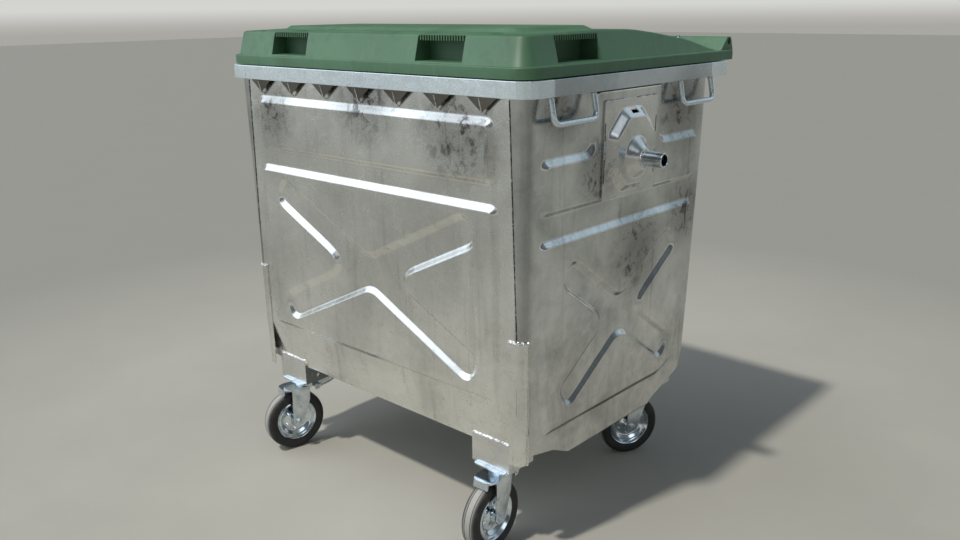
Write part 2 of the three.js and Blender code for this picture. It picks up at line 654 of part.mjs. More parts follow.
const RIM_PROFILE = [[AXLE_R + 1, 27], [18, 27], [20, 5], [58, 8], [WHEEL_SEAT_R - GAP, 20],
  [WHEEL_SEAT_R - GAP, -20], [58, -8], [20, -5], [18, -27], [AXLE_R + 1, -27]].reverse();
const TYRE_PROFILE = [[WHEEL_SEAT_R, 22], [87, TYRE_HALF_WIDTH], [97, 20], [WHEEL_R, 10],
  [WHEEL_R, -10], [97, -20], [87, -TYRE_HALF_WIDTH], [WHEEL_SEAT_R, -22]].reverse();

/** Foot pedal that locks the wheel, with its pivot pin. */
function brakePedal() {
  const outline = rounded([
    [19, 197], [32, 197], [74, 207], [88, 215], [86, 219], [73, 212], [30, 202.5], [19, 202.5],
  ]);
  const [x, z] = PEDAL_PIVOT;
  return toSolid(alongY(outline, -24.4, 24.4)).add(toSolid(bar('y', 3, -31, 31, 8).translate(x, 0, z)));
}

function buildCasters() {
  const casters = [
    { name: 'front_left', x: -CASTER_X, y: -CASTER_Y, turn: 78, brake: true },
    { name: 'front_right', x: CASTER_X, y: -CASTER_Y, turn: 93, brake: true },
    { name: 'rear_left', x: -CASTER_X, y: CASTER_Y, turn: 64, brake: false },
    { name: 'rear_right', x: CASTER_X, y: CASTER_Y, turn: 62, brake: false },
  ];
  for (const { name, x, y, turn, brake } of casters) {
    const fixed = new THREE.Group();
    fixed.position.set(x, y, 0);
    fixed.rotation.z = Math.PI / 2;
    addPiece(`caster_plate_${name}`, casterPlate(), zincPlate, fixed);
    const swivel = new THREE.Group();
    swivel.position.set(x, y, 0);
    swivel.rotation.z = THREE.MathUtils.degToRad(turn);
    addPiece(`fork_${name}`, casterFork(brake), zincPlate, swivel);
    if (brake) addPiece(`brake_pedal_${name}`, brakePedal(), zincPlate, swivel);
    const wheel = new THREE.Group();
    wheel.position.set(-TRAIL, 0, WHEEL_R);
    addPiece(`axle_${name}`, axleBolt(), zincPlate, wheel);
    addPiece(`wheel_rim_${name}`, wheelPart(RIM_PROFILE), zincPlate, wheel);
    addPiece(`tyre_${name}`, wheelPart(TYRE_PROFILE), rubber, wheel);
    swivel.add(wheel);
    pieces.add(fixed, swivel);
  }
}

// ---------------------------------------------------------------- lid and hinge

/** The lid's top as it runs from the front edge down to the hinge, in (Y, Z). */
const LID_CREST = [[446, 1287.5], [285, 1328], [120, 1350], [20, 1361], [-100, 1364], [-430, 1357]];

/** The lid as one block, inset by a distance, with its hand pockets cut out. */
function lidBlock(d) {
  const below = d > 0 ? 60 : 0;
  const skirt = toSolid(alongZ(rounded([
    [-LID_X + d, LID_FRONT_Y + d, 55 - d], [LID_X - d, LID_FRONT_Y + d, 55 - d],
    [LID_X - d, LID_REAR_Y - d, 16 - d], [-LID_X + d, LID_REAR_Y - d, 16 - d],
  ]), LID_BOTTOM - below, LID_LEDGE - d, 5));

  const base = alongZ(rounded([
    [-578 + d, -428 + d, 44 - d], [578 - d, -428 + d, 44 - d], [578 - d, 445, 10], [-578 + d, 445, 10],
  ]), LID_LEDGE - 20, LID_EDGE + 30, 5);
  const draft = 0.25;
  const position = base.attributes.position;
  for (let i = 0; i < position.count; i += 1) {
    const lift = (position.getZ(i) - LID_LEDGE) * draft;
    position.setX(i, position.getX(i) - Math.sign(position.getX(i)) * lift);
    if (position.getY(i) < 0) position.setY(i, position.getY(i) + lift);
  }
  const crest = [[-700, 1200], [700, 1200], [700, 1218], ...LID_CREST, [-700, 1351]];
  const under = toSolid(alongX(rounded(crest), -700, 700).translate(0, 0, -d));
  const crown = pressing(rounded(rectangle(-474, -330, 474, -12), 40), LID_CROWN, 22);
  const raised = toSolid(crown.translate(0, 0, LID_EDGE - 4 - PRESS_ROOT - d));
  let body = skirt.add(toSolid(base).intersect(under)).add(raised);
  for (const [x0, y0, x1, y1] of LID_POCKETS) {
    body = body.subtract(toSolid(block(x0 - d, y0 - d, POCKET_Z[0] - d, x1 + d, y1 + d, POCKET_Z[1] + d)));
  }
  return body;
}

function buildLid() {
  const ridgeEnd = LID_X - 7;
  const ridgeOutline = rounded([
    [458, LID_LEDGE - 2], [524, LID_LEDGE - 2], [507, 1327, 5], [491, 1327, 5],
  ]);
  const ridge = toSolid(alongX(ridgeOutline, -ridgeEnd, ridgeEnd));
  const bore = toSolid(bar('x', HINGE_BORE_R, -700, 700, 16).translate(0, HINGE_Y, HINGE_Z));
  let lid = lidBlock(0).subtract(lidBlock(LID_WALL)).add(ridge).subtract(bore);
  for (const x of LUG_X) {
    lid = lid.subtract(toSolid(block(x - LUG_THICK, 452, 1200, x + LUG_THICK, 600, 1400)));
  }
  addPiece('lid', lid, greenPlastic);
}

function buildHinge() {
  const rodEnd = LID_X - 17;
  const rod = bar('x', HINGE_ROD_R, -rodEnd, rodEnd, 12).translate(0, HINGE_Y, HINGE_Z);
  addPiece('hinge_rod', rod, zincPlate);
  const root = RIM_REAR_Y + GAP;
  const arm = rounded([[root, 1224], [root + 10, 1224, 4], [514, 1300, 6], [508, 1322, 6], [488, 1322, 6],
    [484, 1306, 6], [root, 1258]]);
  const eye = toSolid(bar('x', 15, -LUG_THICK / 2, LUG_THICK / 2, 16).translate(0, HINGE_Y, HINGE_Z));
  const hole = toSolid(bar('x', HINGE_ROD_R + GAP, -50, 50, 12).translate(0, HINGE_Y, HINGE_Z));
  const lug = toGeometry(toSolid(alongX(arm, -LUG_THICK / 2, LUG_THICK / 2, 2)).add(eye).subtract(hole));
  ['left', 'middle', 'right'].forEach((place, i) => {
    addPiece(`hinge_lug_${place}`, lug.clone().translate(LUG_X[i], 0, 0), galvanised);
  });
}

// ---------------------------------------------------------------- the whole container

buildTub();
buildSleeves();
buildDrain();
buildRim();
buildComb();
buildHandles();
buildTrunnions();
buildBrackets();
buildCasters();
buildLid();
buildHinge();

// The origin stands on the floor under the middle of the overall box.
const overall = new THREE.Box3().setFromObject(pieces);
pieces.position.y = -(overall.min.y + overall.max.y) / 2;

export default pieces;
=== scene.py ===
# The looks of a four-wheeled galvanised steel waste container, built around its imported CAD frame.
# Sizes are millimetres measured from the trunnions' axis, and turn into metres in the row frame.
import math

import bpy
import numpy as np
from mathutils import Matrix, Vector


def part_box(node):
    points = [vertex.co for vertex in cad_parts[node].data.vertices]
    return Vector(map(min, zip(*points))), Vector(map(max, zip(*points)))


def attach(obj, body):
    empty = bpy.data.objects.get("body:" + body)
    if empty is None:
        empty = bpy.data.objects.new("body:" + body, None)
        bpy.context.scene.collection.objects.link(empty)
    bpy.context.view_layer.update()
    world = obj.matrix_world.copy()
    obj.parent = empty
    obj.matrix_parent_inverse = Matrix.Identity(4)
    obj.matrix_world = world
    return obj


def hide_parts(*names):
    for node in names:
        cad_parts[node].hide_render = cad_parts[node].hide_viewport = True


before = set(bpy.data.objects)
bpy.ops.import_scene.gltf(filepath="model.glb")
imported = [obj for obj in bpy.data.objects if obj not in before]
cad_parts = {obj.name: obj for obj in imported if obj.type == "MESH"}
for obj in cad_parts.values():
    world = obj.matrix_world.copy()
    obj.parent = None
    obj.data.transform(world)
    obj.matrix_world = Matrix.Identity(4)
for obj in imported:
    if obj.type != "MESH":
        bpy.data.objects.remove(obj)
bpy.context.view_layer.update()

MM = 0.001
PIN_LOW, PIN_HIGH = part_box("trunnion_right")
AXIS_Y = (PIN_LOW.y + PIN_HIGH.y) / 2

# ---- driving dimensions

SHEET = 2.0
TUB_TOP = 1256.7
TUB_HALF_X = 569.0
TUB_FRONT_Y = -419.5
TUB_REAR_Y = 429.0
LEAN_X = 0.017
LEAN_FRONT = 0.0078
LEAN_REAR = 0.038
CORNER_R = 24.0
SEAM_X_TOP = 522.0
SEAM_X_LOW = 541.0
SEAM_GAP = 0.15
FRONT_FOOT = (-392.0, 302.0)  # (y, z)
FRONT_TURN_IN = 0.164  # lean of the front wall's turned-in foot
REAR_FOOT_Z = 325.0
FOOT_CORNER_R = 6.0
FRONT_TAPER_Z = 430.0  # the corners keep their full radius down to here
REAR_TAPER_Z = 540.0
REAR_FOOT_BENDS = ((325, 367.2), (332, 370), (365, 383), (400, 386), (540, 402), (700, 420))
FLOOR_BENDS = ((-275, 279.5), (-207, 247), (192, 247), (222, 263), (302, 292), (351, 308))
SLEEVE_TOP = 622.0
SLEEVE_BOTTOM = 283.0
SLEEVE_INNER_X = 514.0
SLEEVE_WRAP_Y = -392.0
SLEEVE_SHEET = 3.0
SLEEVE_ROWS = 60
GAP = 0.3

EMBOSS = 11.0
BEVEL = 15.5
SOFT = 1.6  # how far a pressing's fillets reach past its bevel

RIM_X = 599.0
RIM_FRONT_Y = -444.0
RIM_REAR_Y = 476.0
RIM_BOTTOM = 1220.0
RIM_TOP = 1260.0
RIM_CORNER = 95.0

COMB_COUNT = 7
COMB_PITCH = 148.8
COMB_DEPTH = 38.0
COMB_PLANE_Y = -430.0

HANDLE_R = 7.5
HANDLE_Z = 1157.0
HANDLE_X = (RIM_X + 3.0, RIM_X - 9.0)  # at the grip and at the rim
HANDLE_BEND = 22.0
HANDLE_ENDS = {"front": (-352.0, -184.0), "rear": (222.0, 390.0)}

TRUNNION_Z = 1038.0
TRUNNION_R = 20.0
TRUNNION_BORE_R = 15.0
TRUNNION_TIP_X = PIN_HIGH.x / MM
TRUNNION_SHEET = 4.0
PLATE_HALF_Y = 122.0
PLATE_EDGE_Y = 118.0  # of its slots and weld beads
PLATE_Z = (936.0, 1190.0)
DISH_HALF_Y = 107.0
DISH_Z = (949.0, 1167.0)
DISH_CHAMFER = 62.0
DISH_HEIGHT = 20.0
DISH_BEVEL = 22.0
CONE_HEIGHT = 25.0
CONE_R = (26.0, 56.0)

CASTER_X = 437.0
CASTER_Y = 350.0
WHEEL_R = 100.0
TRAIL = 55.0
BRACKET_HALF_X = 66.0
BRACKET_SEAM_Z = 323.0
BRACKET_EDGE_Z = (321.0, 304.0)

LID_X = 592.0
LID_FRONT_Y = -440.0
LID_REAR_Y = 524.0
LID_BOTTOM = 1262.6
LID_LEDGE = 1290.0
LID_WALL = 4.0
LID_DRAFT = 0.25
LID_BASE_X = 578.0
LID_BASE_FRONT = -428.0
LID_BASE_REAR = 436.0
LID_CREST_Y = (-430, -100, 20, 120, 285, 446)
LID_CREST_Z = (1357, 1364, 1361, 1350, 1328, 1287.5)
LID_CROWN_TOP = 1372.0
LUG_X = (-420.0, 0.0, 420.0)
HINGE_Y = 499.0
HINGE_Z = 1314.0

CORNERS = {"front_left": (-1, -1), "front_right": (1, -1), "rear_left": (-1, 1), "rear_right": (1, 1)}
SWIVEL_TURN = {"front_left": 78.0, "front_right": 93.0, "rear_left": 64.0, "rear_right": 62.0}
POCKET_Z = (1294.0, 1355.0)
LID_POCKETS = (
    (-382, -520, -222, -374), (222, -520, 382, -374), (512, -309, 700, -139), (-700, -309, -512, -139),
)

# ---- materials


def node(tree, kind, inputs=None, **settings):
    """A shader node. Inputs are constants, or sockets to link from."""
    made = tree.nodes.new(kind)
    for key, value in settings.items():
        setattr(made, key, value)
    for key, value in (inputs or {}).items():
        if isinstance(value, bpy.types.NodeSocket):
            tree.links.new(value, made.inputs[key])
        else:
            made.inputs[key].default_value = value
    return made


def new_material(name, metallic=0.0):
    """A material, its node tree, its Principled shader and its object coordinates."""
    material = bpy.data.materials.new(name)
    material.use_nodes = True
    tree = material.node_tree
    tree.nodes.clear()
    shader = node(tree, "ShaderNodeBsdfPrincipled", {"Metallic": metallic})
    node(tree, "ShaderNodeOutputMaterial", {"Surface": shader.outputs["BSDF"]})
    return material, tree, shader, node(tree, "ShaderNodeTexCoord").outputs["Object"]


def dress(tree, shader, colour, roughness, relief=None, strength=0.0, depth=0.0):
    """Links a colour, a roughness and the bump of a relief, with its depth in metres, to a shader."""
    tree.links.new(colour, shader.inputs["Base Color"])
    tree.links.new(roughness, shader.inputs["Roughness"])
    if relief is not None:
        bump = node(tree, "ShaderNodeBump", {"Height": relief, "Strength": strength, "Distance": depth})
        tree.links.new(bump.outputs["Normal"], shader.inputs["Normal"])


def ramp(tree, value, stops):
    """A colour ramp through (position, colour or grey) stops."""
    made = node(tree, "ShaderNodeValToRGB", {"Fac": value})
    elements = made.color_ramp.elements
    while len(elements) < len(stops):
        elements.new(0.5)
    for element, (position, colour) in zip(elements, stops):
        element.position = position
        element.color = (*colour, 1) if hasattr(colour, "__len__") else (colour, colour, colour, 1)
    return made.outputs["Color"]


def noise(tree, at, scale, detail=4.0, roughness=0.55, distortion=0.0):
    """Noise texture value at a vector."""
    inputs = {"Vector": at, "Scale": scale, "Detail": detail, "Roughness": roughness}
    return node(tree, "ShaderNodeTexNoise", {**inputs, "Distortion": distortion}).outputs["Fac"]


def mix(tree, amount, a, b, blend="MIX"):
    """Colour mix."""
    inputs = {0: amount, 6: a, 7: b}
    return node(tree, "ShaderNodeMix", inputs, data_type="RGBA", blend_type=blend).outputs[2]


def calc(tree, operation, a, b=0.0, clamp=False):
    """Value of a maths node."""
    return node(tree, "ShaderNodeMath", {0: a, 1: b}, operation=operation, use_clamp=clamp).outputs[0]


def vector_value(tree, operation, a, b=(0, 0, 0)):
    """Value of a vector maths node."""
    return node(tree, "ShaderNodeVectorMath", {0: a, 1: b}, operation=operation).outputs["Value"]


def spread(tree, value, low, high, to_low=0.0, to_high=1.0):
    """A value mapped from one range to another, clamped."""
    inputs = {"Value": value, "From Min": low, "From Max": high, "To Min": to_low, "To Max": to_high}
    return node(tree, "ShaderNodeMapRange", inputs).outputs["Result"]


def stretched(tree, at, scale):
    """Coordinates scaled along each axis."""
    return node(tree, "ShaderNodeMapping", {"Vector": at, "Scale": scale}).outputs["Vector"]


def grey(value, warm=0.0):
    """A grey, slightly warm or cold."""
    return (value * (1 + warm), value, value * (1 - 1.6 * warm), 1)


# Stained patches of the tub, and the painted shade line up its rounded front corner, in metres
STAIN_PATCHES = (((0.36, -0.44, 1.13), 0.17), ((0.02, -0.44, 1.19), 0.15), ((0.57, -0.13, 1.02), 0.13),
                 ((0.57, 0.06, 0.76), 0.17), ((0.57, 0.32, 0.84), 0.14), ((0.58, 0.25, 1.15), 0.16),
                 ((0.57, -0.30, 1.19), 0.10), ((-0.40, -0.44, 1.12), 0.12))
CORNER_PAINTED_SHADE_Y = -0.408
CORNER_PAINTED_SHADE_HALF = 0.026


def stain_mask(tree, at):
    """Where handling and splashes have darkened the zinc."""
    total = 0.0
    for centre, radius in STAIN_PATCHES:
        gap = vector_value(tree, "DISTANCE", at, centre)
        total = calc(tree, "MAXIMUM", spread(tree, gap, radius, 0.25 * radius), total)
    return total


def galvanised(name, light, dark, stain, roughness, metallic=1.0, corner_shade=0.0):
    """Hot-dip galvanised steel: cloudy zinc, fine spangle, dark stains, drips and scratches, and a painted
    shade line up the front corner where corner_shade is set.
    """
    material, tree, shader, at = new_material(name, metallic)
    clouds = noise(tree, at, 4.2, 5, 0.58, 0.6)
    mottle = noise(tree, at, 30, 6, 0.70, 0.5)
    fine = noise(tree, at, 330, 4, 0.65)
    drips = noise(tree, stretched(tree, at, (30, 30, 2.2)), 1.0, 4, 0.6, 0.5)
    cells = node(tree, "ShaderNodeTexVoronoi", {"Vector": at, "Scale": 240.0}).outputs["Color"]
    spangle = node(tree, "ShaderNodeSeparateColor", {"Color": cells}).outputs[0]

    blend = calc(tree, "ADD", calc(tree, "MULTIPLY", clouds, 0.72), calc(tree, "MULTIPLY", mottle, 0.28))
    middle = tuple(0.6 * a + 0.4 * b for a, b in zip(light, dark))
    colour = ramp(tree, blend, [(0.36, dark), (0.50, middle), (0.62, light)])
    colour = mix(tree, 0.20, colour, ramp(tree, spangle, [(0.0, 0.72), (1.0, 1.0)]), "MULTIPLY")
    colour = mix(tree, 0.30, colour, ramp(tree, fine, [(0.35, 0.82), (0.62, 1.0)]), "MULTIPLY")
    patches = stain_mask(tree, at)
    blotches = calc(tree, "MULTIPLY", spread(tree, mottle, 0.43, 0.60), patches)
    haze = calc(tree, "MULTIPLY", patches, 0.52)
    running = calc(tree, "ADD", patches, 0.18)
    runs = calc(tree, "MULTIPLY", spread(tree, drips, 0.56, 0.70), running)
    stains = calc(tree, "MAXIMUM", calc(tree, "MAXIMUM", blotches, haze), runs)
    colour = mix(tree, calc(tree, "MULTIPLY", stains, stain), colour, grey(0.075, 0.06))
    specks = calc(tree, "MULTIPLY", spread(tree, fine, 0.64, 0.72), spread(tree, clouds, 0.44, 0.62))
    colour = mix(tree, calc(tree, "MULTIPLY", specks, 0.55 * stain), colour, grey(0.09, 0.05))
    scratch = noise(tree, stretched(tree, at, (7, 7, 240)), 1.0, 2, 0.5, 1.6)
    colour = mix(tree, spread(tree, scratch, 0.72, 0.76, 0.0, 0.5), colour, grey(0.88))
    # Painted shade: a dark band up the rounded front corner.
    if corner_shade:
        across = node(tree, "ShaderNodeSeparateXYZ", {"Vector": at}).outputs["Y"]
        gap = calc(tree, "ABSOLUTE", calc(tree, "SUBTRACT", across, CORNER_PAINTED_SHADE_Y))
        grime_and_shade = spread(tree, gap, CORNER_PAINTED_SHADE_HALF, 0.005, 0.0, corner_shade)
        colour = mix(tree, grime_and_shade, colour, grey(0.16))

    rough = spread(tree, mottle, 0.35, 0.65, roughness + 0.07, roughness - 0.05)
    rough = calc(tree, "ADD", rough, calc(tree, "MULTIPLY", spangle, 0.07))
    rough = calc(tree, "ADD", rough, calc(tree, "MULTIPLY", stains, 0.10), clamp=True)
    relief = calc(tree, "ADD", calc(tree, "MULTIPLY", mottle, 0.24), calc(tree, "MULTIPLY", fine, 0.03))
    dress(tree, shader, colour, rough, relief, 0.42, 0.0012)
    return material


def zinc_plate():
    """Bright zinc plate, lightly dulled, with fine brushing and greasy smears."""
    material, tree, shader, at = new_material("zinc_plate", 1.0)
    smear = noise(tree, at, 22, 5, 0.6, 0.5)
    fine = noise(tree, at, 420, 3, 0.6)
    dull, plain, bright = (0.46, 0.51, 0.55), (0.70, 0.77, 0.82), (0.86, 0.92, 0.95)
    colour = ramp(tree, smear, [(0.30, dull), (0.52, plain), (0.72, bright)])
    dirt = spread(tree, noise(tree, at, 60, 4, 0.7), 0.58, 0.72, 0.0, 0.45)
    colour = mix(tree, dirt, colour, grey(0.20, 0.12))
    rough = calc(tree, "ADD", spread(tree, smear, 0.3, 0.7, 0.20, 0.07), calc(tree, "MULTIPLY", dirt, 0.4))
    dress(tree, shader, colour, rough, fine, 0.12, 0.0006)
    return material


def weld_metal(name, pitted, pit):
    """Weld bead under zinc: bright ripples with dark pits."""
    material, tree, shader, at = new_material(name, 1.0)
    pits = noise(tree, at, 190, 4, 0.7, 0.3)
    colour = ramp(tree, pits, [(pitted, pit), (pitted + 0.07, 0.5 * pit + 0.28), (pitted + 0.18, 0.92)])
    dress(tree, shader, colour, spread(tree, pits, 0.4, 0.6, 0.45, 0.18), pits, 0.6, 0.0015)
    return material


def rubber():
    """Black rubber, worn grey and dusty on the tread."""
    material, tree, shader, at = new_material("tyre_rubber")
    dust = noise(tree, at, 30, 6, 0.7, 0.4)
    fine = noise(tree, at, 500, 3, 0.6)
    worn = node(tree, "ShaderNodeAttribute", attribute_name="worn").outputs["Fac"]
    dusty = spread(tree, dust, 0.45, 0.72, 0.0, 0.35)
    colour = mix(tree, dusty, (0.013, 0.013, 0.014, 1), (0.12, 0.115, 0.11, 1))
    colour = mix(tree, calc(tree, "MULTIPLY", worn, 0.9), colour, (0.34, 0.33, 0.31, 1))
    dress(tree, shader, colour, spread(tree, dust, 0.4, 0.7, 0.50, 0.85), fine, 0.3, 0.0006)
    return material


def green_plastic():
    """Moulded polyethylene: satin, finely grained, bleached in places, with grime and faint drips."""
    material, tree, shader, at = new_material("green_plastic")
    clouds = noise(tree, at, 4.5, 5, 0.6, 0.5)
    grain = noise(tree, at, 900, 2, 0.5)
    drips = noise(tree, stretched(tree, at, (40, 40, 5)), 1.0, 5, 0.65, 0.4)
    deep, plain, bleached = (0.044, 0.114, 0.056), (0.058, 0.142, 0.073), (0.078, 0.172, 0.094)
    colour = ramp(tree, clouds, [(0.3, deep), (0.52, plain), (0.72, bleached)])
    grime_and_shade = noise(tree, at, 16, 5, 0.65, 0.6)
    colour = mix(tree, spread(tree, grime_and_shade, 0.54, 0.70, 0.0, 0.45), colour, (0.035, 0.075, 0.040, 1))
    colour = mix(tree, spread(tree, drips, 0.56, 0.72, 0.0, 0.25), colour, (0.15, 0.20, 0.15, 1))
    scuffs = noise(tree, stretched(tree, at, (14, 14, 120)), 1.0, 3, 0.6, 1.0)
    colour = mix(tree, spread(tree, scuffs, 0.70, 0.76, 0.0, 0.35), colour, (0.24, 0.32, 0.26, 1))
    dress(tree, shader, colour, spread(tree, clouds, 0.3, 0.7, 0.46, 0.58), grain, 0.25, 0.0003)
    return material


def dark_plastic():
    """Black moulded plastic of the drain plug."""
    material, tree, shader, at = new_material("dark_plastic")
    grain = noise(tree, at, 240, 4, 0.6)
    colour = ramp(tree, grain, [(0.3, 0.010), (0.7, 0.030)])
    dress(tree, shader, colour, spread(tree, grain, 0.3, 0.7, 0.42, 0.58))
    return material


TUB_ZINC = galvanised("galvanised_tub", (0.94, 0.945, 0.91), (0.68, 0.685, 0.65), 0.95, 0.17)
# The end walls get a darker copy of the tub's zinc: painted shade.
SIDE_ZINC_PAINTED_SHADE = galvanised("galvanised_side_painted_shade", (0.80, 0.815, 0.80), (0.46, 0.475, 0.46), 1.0, 0.13,
                       corner_shade=0.42)
# The rim's front and rear, its beads and the handles are painted brighter and bluer than the tub: a painted
# sky reflection.
RIM_ZINC_PAINTED_REFLECTION = galvanised("galvanised_rim_painted_reflection", (0.86, 0.96, 1.0), (0.72, 0.82, 0.87), 0.20, 0.16, metallic=0.75)
# The rim's two ends get a darker copy of the rim's zinc: painted shade.
RIM_SIDE_ZINC_PAINTED_SHADE = galvanised("galvanised_rim_side_painted_shade", (0.62, 0.69, 0.73), (0.42, 0.48, 0.51), 0.30, 0.15)
PLATE_ZINC = galvanised("galvanised_plate", (0.86, 0.87, 0.86), (0.56, 0.57, 0.55), 0.6, 0.16)
CHROME = zinc_plate()
SHADED_ZINC = galvanised("galvanised_shaded", (0.27, 0.26, 0.235), (0.16, 0.15, 0.135), 0.8, 0.30)
WELD = weld_metal("weld_metal", 0.34, 0.22)
SEAM = weld_metal("weld_seam", 0.50, 0.05)
RUBBER = rubber()
GREEN = green_plastic()
BLACK = dark_plastic()

# ---- mesh helpers
# A solid is (points, faces): an array of millimetre points, and a list of faces as point numbers.


def join(*solids):
    """Several solids as one."""
    points, faces, start = [], [], 0
    for solid_points, solid_faces in solids:
        points.append(np.asarray(solid_points, float))
        faces += [tuple(int(i) + start for i in face) for face in solid_faces]
        start += len(solid_points)
    return np.concatenate(points), faces


def turned_about_z(solid, degrees, at=(0, 0, 0)):
    """A solid turned about Z and then moved."""
    points, faces = solid
    c, s = math.cos(math.radians(degrees)), math.sin(math.radians(degrees))
    return points @ np.array([[c, s, 0], [-s, c, 0], [0, 0, 1]]) + np.array(at, float), faces


def mirrored_x(solid):
    points, faces = solid
    return points * np.array([-1, 1, 1]), [face[::-1] for face in faces]


def moved(solid, x=0, y=0, z=0):
    return solid[0] + np.array([x, y, z], float), solid[1]


def outward(solid):
    """The solid with its faces pointing out."""
    points, faces = np.asarray(solid[0], float), [tuple(face) for face in solid[1]]
    fans = np.array([(face[0], face[i], face[i + 1]) for face in faces for i in range(1, len(face) - 1)])
    first, second, third = (points[fans[:, k]] for k in range(3))
    volume = np.sum(first * np.cross(second, third))
    return (points, faces) if volume > 0 else (points, [face[::-1] for face in faces])


def new_object(name, data):
    """An object in the scene."""
    obj = bpy.data.objects.new(name, data)
    bpy.context.scene.collection.objects.link(obj)
    return obj


def mesh_object(name, points, faces):
    mesh = bpy.data.meshes.new(name)
    mesh.from_pydata(points.tolist(), [], [tuple(map(int, face)) for face in faces])
    return new_object(name, mesh)


def cut(solid, cutter):
    """A solid with another one cut out of it."""
    body, tool = mesh_object("temporary", *outward(solid)), mesh_object("temporary", *outward(cutter))
    modifier = body.modifiers.new("cut", "BOOLEAN")
    modifier.operation = "DIFFERENCE"
    modifier.solver = "EXACT"
    modifier.object = tool
    result = body.evaluated_get(bpy.context.evaluated_depsgraph_get()).to_mesh()
    points = np.array([vertex.co[:] for vertex in result.vertices])
    faces = [tuple(polygon.vertices) for polygon in result.polygons]
    for obj in (body, tool):
        mesh = obj.data
        bpy.data.objects.remove(obj)
        bpy.data.meshes.remove(mesh)
    return points, faces


def piece(name, solid, material, body, stands_for=(), smooth=32):
    """A finished piece that rides on a CAD body. Edges sharper than smooth, in degrees, stay sharp."""
    points, faces = outward(solid)
    obj = mesh_object(name, points * MM + np.array((0, AXIS_Y, 0)), faces)
    mesh = obj.data
    mesh.update()
    mesh.shade_smooth()
    mesh.set_sharp_from_angle(angle=math.radians(smooth))
    mesh.materials.append(material)
    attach(obj, body)
    if stands_for:
        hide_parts(*stands_for)
    return obj


def steel(name, solid, material, stands_for=(), smooth=32):
    """A finished piece of the galvanised tub."""
    return piece(name, solid, material, "container", stands_for, smooth)


def both_sides(name, solid, material, stands_for="", smooth=32):
    """A right-hand piece of the tub and its mirror image. The braces in a name stand for the side."""
    for side, shape in (("right", solid), ("left", mirrored_x(solid))):
        steel(name.format(side), shape, material, [stands_for.format(side)] if stands_for else (), smooth)


def rounded(corners, radius=0.0, steps=6):
    """A closed outline whose (x, y[, r]) corners are rounded."""
    points = []
    count = len(corners)
    for i, corner in enumerate(corners):
        here = np.array(corner[:2], float)
        before = np.array(corners[i - 1][:2], float) - here
        after = np.array(corners[(i + 1) % count][:2], float) - here
        r = corner[2] if len(corner) > 2 else radius
        if r <= 0:
            points.append(here)
            continue
        before /= np.linalg.norm(before)
        after /= np.linalg.norm(after)
        reach = r / math.tan(math.acos(max(-1.0, min(1.0, before @ after))) / 2)
        start, end = here + before * reach, here + after * reach
        for t in np.linspace(0, 1, steps + 1):
            points.append((1 - t) ** 2 * start + 2 * t * (1 - t) * here + t * t * end)
    return np.array(points)


def rectangle(x0, y0, x1, y1):
    return [(x0, y0), (x1, y0), (x1, y1), (x0, y1)]


def extruded(outline, low, high, axis="z"):
    """A closed outline drawn along an axis: (x, y) along Z, (y, z) along X or (x, z) along Y."""
    outline = np.asarray(outline, float)
    after = np.roll(outline, -1, 0)
    area = np.sum(outline[:, 0] * after[:, 1] - after[:, 0] * outline[:, 1])
    if (area < 0) != (axis == "y"):
        outline = outline[::-1]
    count = len(outline)
    order = {"z": (0, 1, 2), "x": (2, 0, 1), "y": (0, 2, 1)}[axis]
    layers = []
    for level in (low, high):
        flat = np.column_stack([outline, np.full(count, float(level))])
        layers.append(flat[:, order])
    ring = range(count)
    faces = [tuple(reversed(ring)), tuple(i + count for i in ring)]
    faces += [(i, (i + 1) % count, (i + 1) % count + count, i + count) for i in ring]
    return np.concatenate(layers), faces


def box(x0, y0, z0, x1, y1, z1):
    return extruded(rectangle(x0, y0, x1, y1), z0, z1)


def lathe(profile, sides=48, axis="z"):
    """A closed (radius, height) profile, drawn anticlockwise with height up, turned about an axis."""
    profile = np.asarray(profile, float)
    count = len(profile)
    rings = []
    for turn in np.arange(sides) * 2 * math.pi / sides:
        x, y = profile[:, 0] * math.cos(turn), profile[:, 0] * math.sin(turn)
        rings.append(np.column_stack([x, y, profile[:, 1]]))
    faces = []
    for k in range(sides):
        here, there = k * count, (k + 1) % sides * count
        for i in range(count):
            j = (i + 1) % count
            faces.append((here + i, there + i, there + j, here + j))
    order = {"z": (0, 1, 2), "x": (2, 0, 1), "y": (1, 2, 0)}[axis]
    return np.concatenate(rings)[:, order], faces


def prism(sides, radius, low, high, axis="z"):
    """A straight bar with a regular section."""
    angles = (np.arange(sides) + 0.5) * 2 * math.pi / sides
    return extruded(np.column_stack([radius * np.cos(angles), radius * np.sin(angles)]), low, high, axis)


def stacked(rings):
    """A closed solid through matching rings of points."""
    count = len(rings[0])
    faces = [tuple(reversed(range(count)))]
    end = (len(rings) - 1) * count
    for here in range(0, end, count):
        for i in range(count):
            j = (i + 1) % count
            faces.append((here + i, here + j, here + count + j, here + count + i))
    faces.append(tuple(range(end, end + count)))
    return np.concatenate(rings), faces


def sweep(path, section):
    """A section, as (sideways, up) offsets for each path point, drawn along an open path."""
    path = np.asarray(path, float)
    ahead = np.roll(path, -1, 0) - np.roll(path, 1, 0)
    ahead[0], ahead[-1] = path[1] - path[0], path[-1] - path[-2]
    ahead /= np.linalg.norm(ahead, axis=1)[:, None]
    up = np.array([0.0, 0.0, 1.0]) if abs(ahead[0][2]) < 0.9 else np.array([0.0, 1.0, 0.0])
    rings = []
    for place, direction, offsets in zip(path, ahead, section):
        side = np.cross(direction, up)
        side /= np.linalg.norm(side)
        up = np.cross(side, direction)
        rings.append(place + np.outer(offsets[:, 0], side) + np.outer(offsets[:, 1], up))
    return stacked(rings)


def tube(path, radius, sides=12):
    """A round tube along a path. The radius is one number, or one for each point."""
    radii = np.broadcast_to(radius, (len(path),))
    angles = np.arange(sides) * 2 * math.pi / sides
    circle = np.column_stack([np.cos(angles), np.sin(angles)])
    return sweep(path, [circle * r for r in radii])


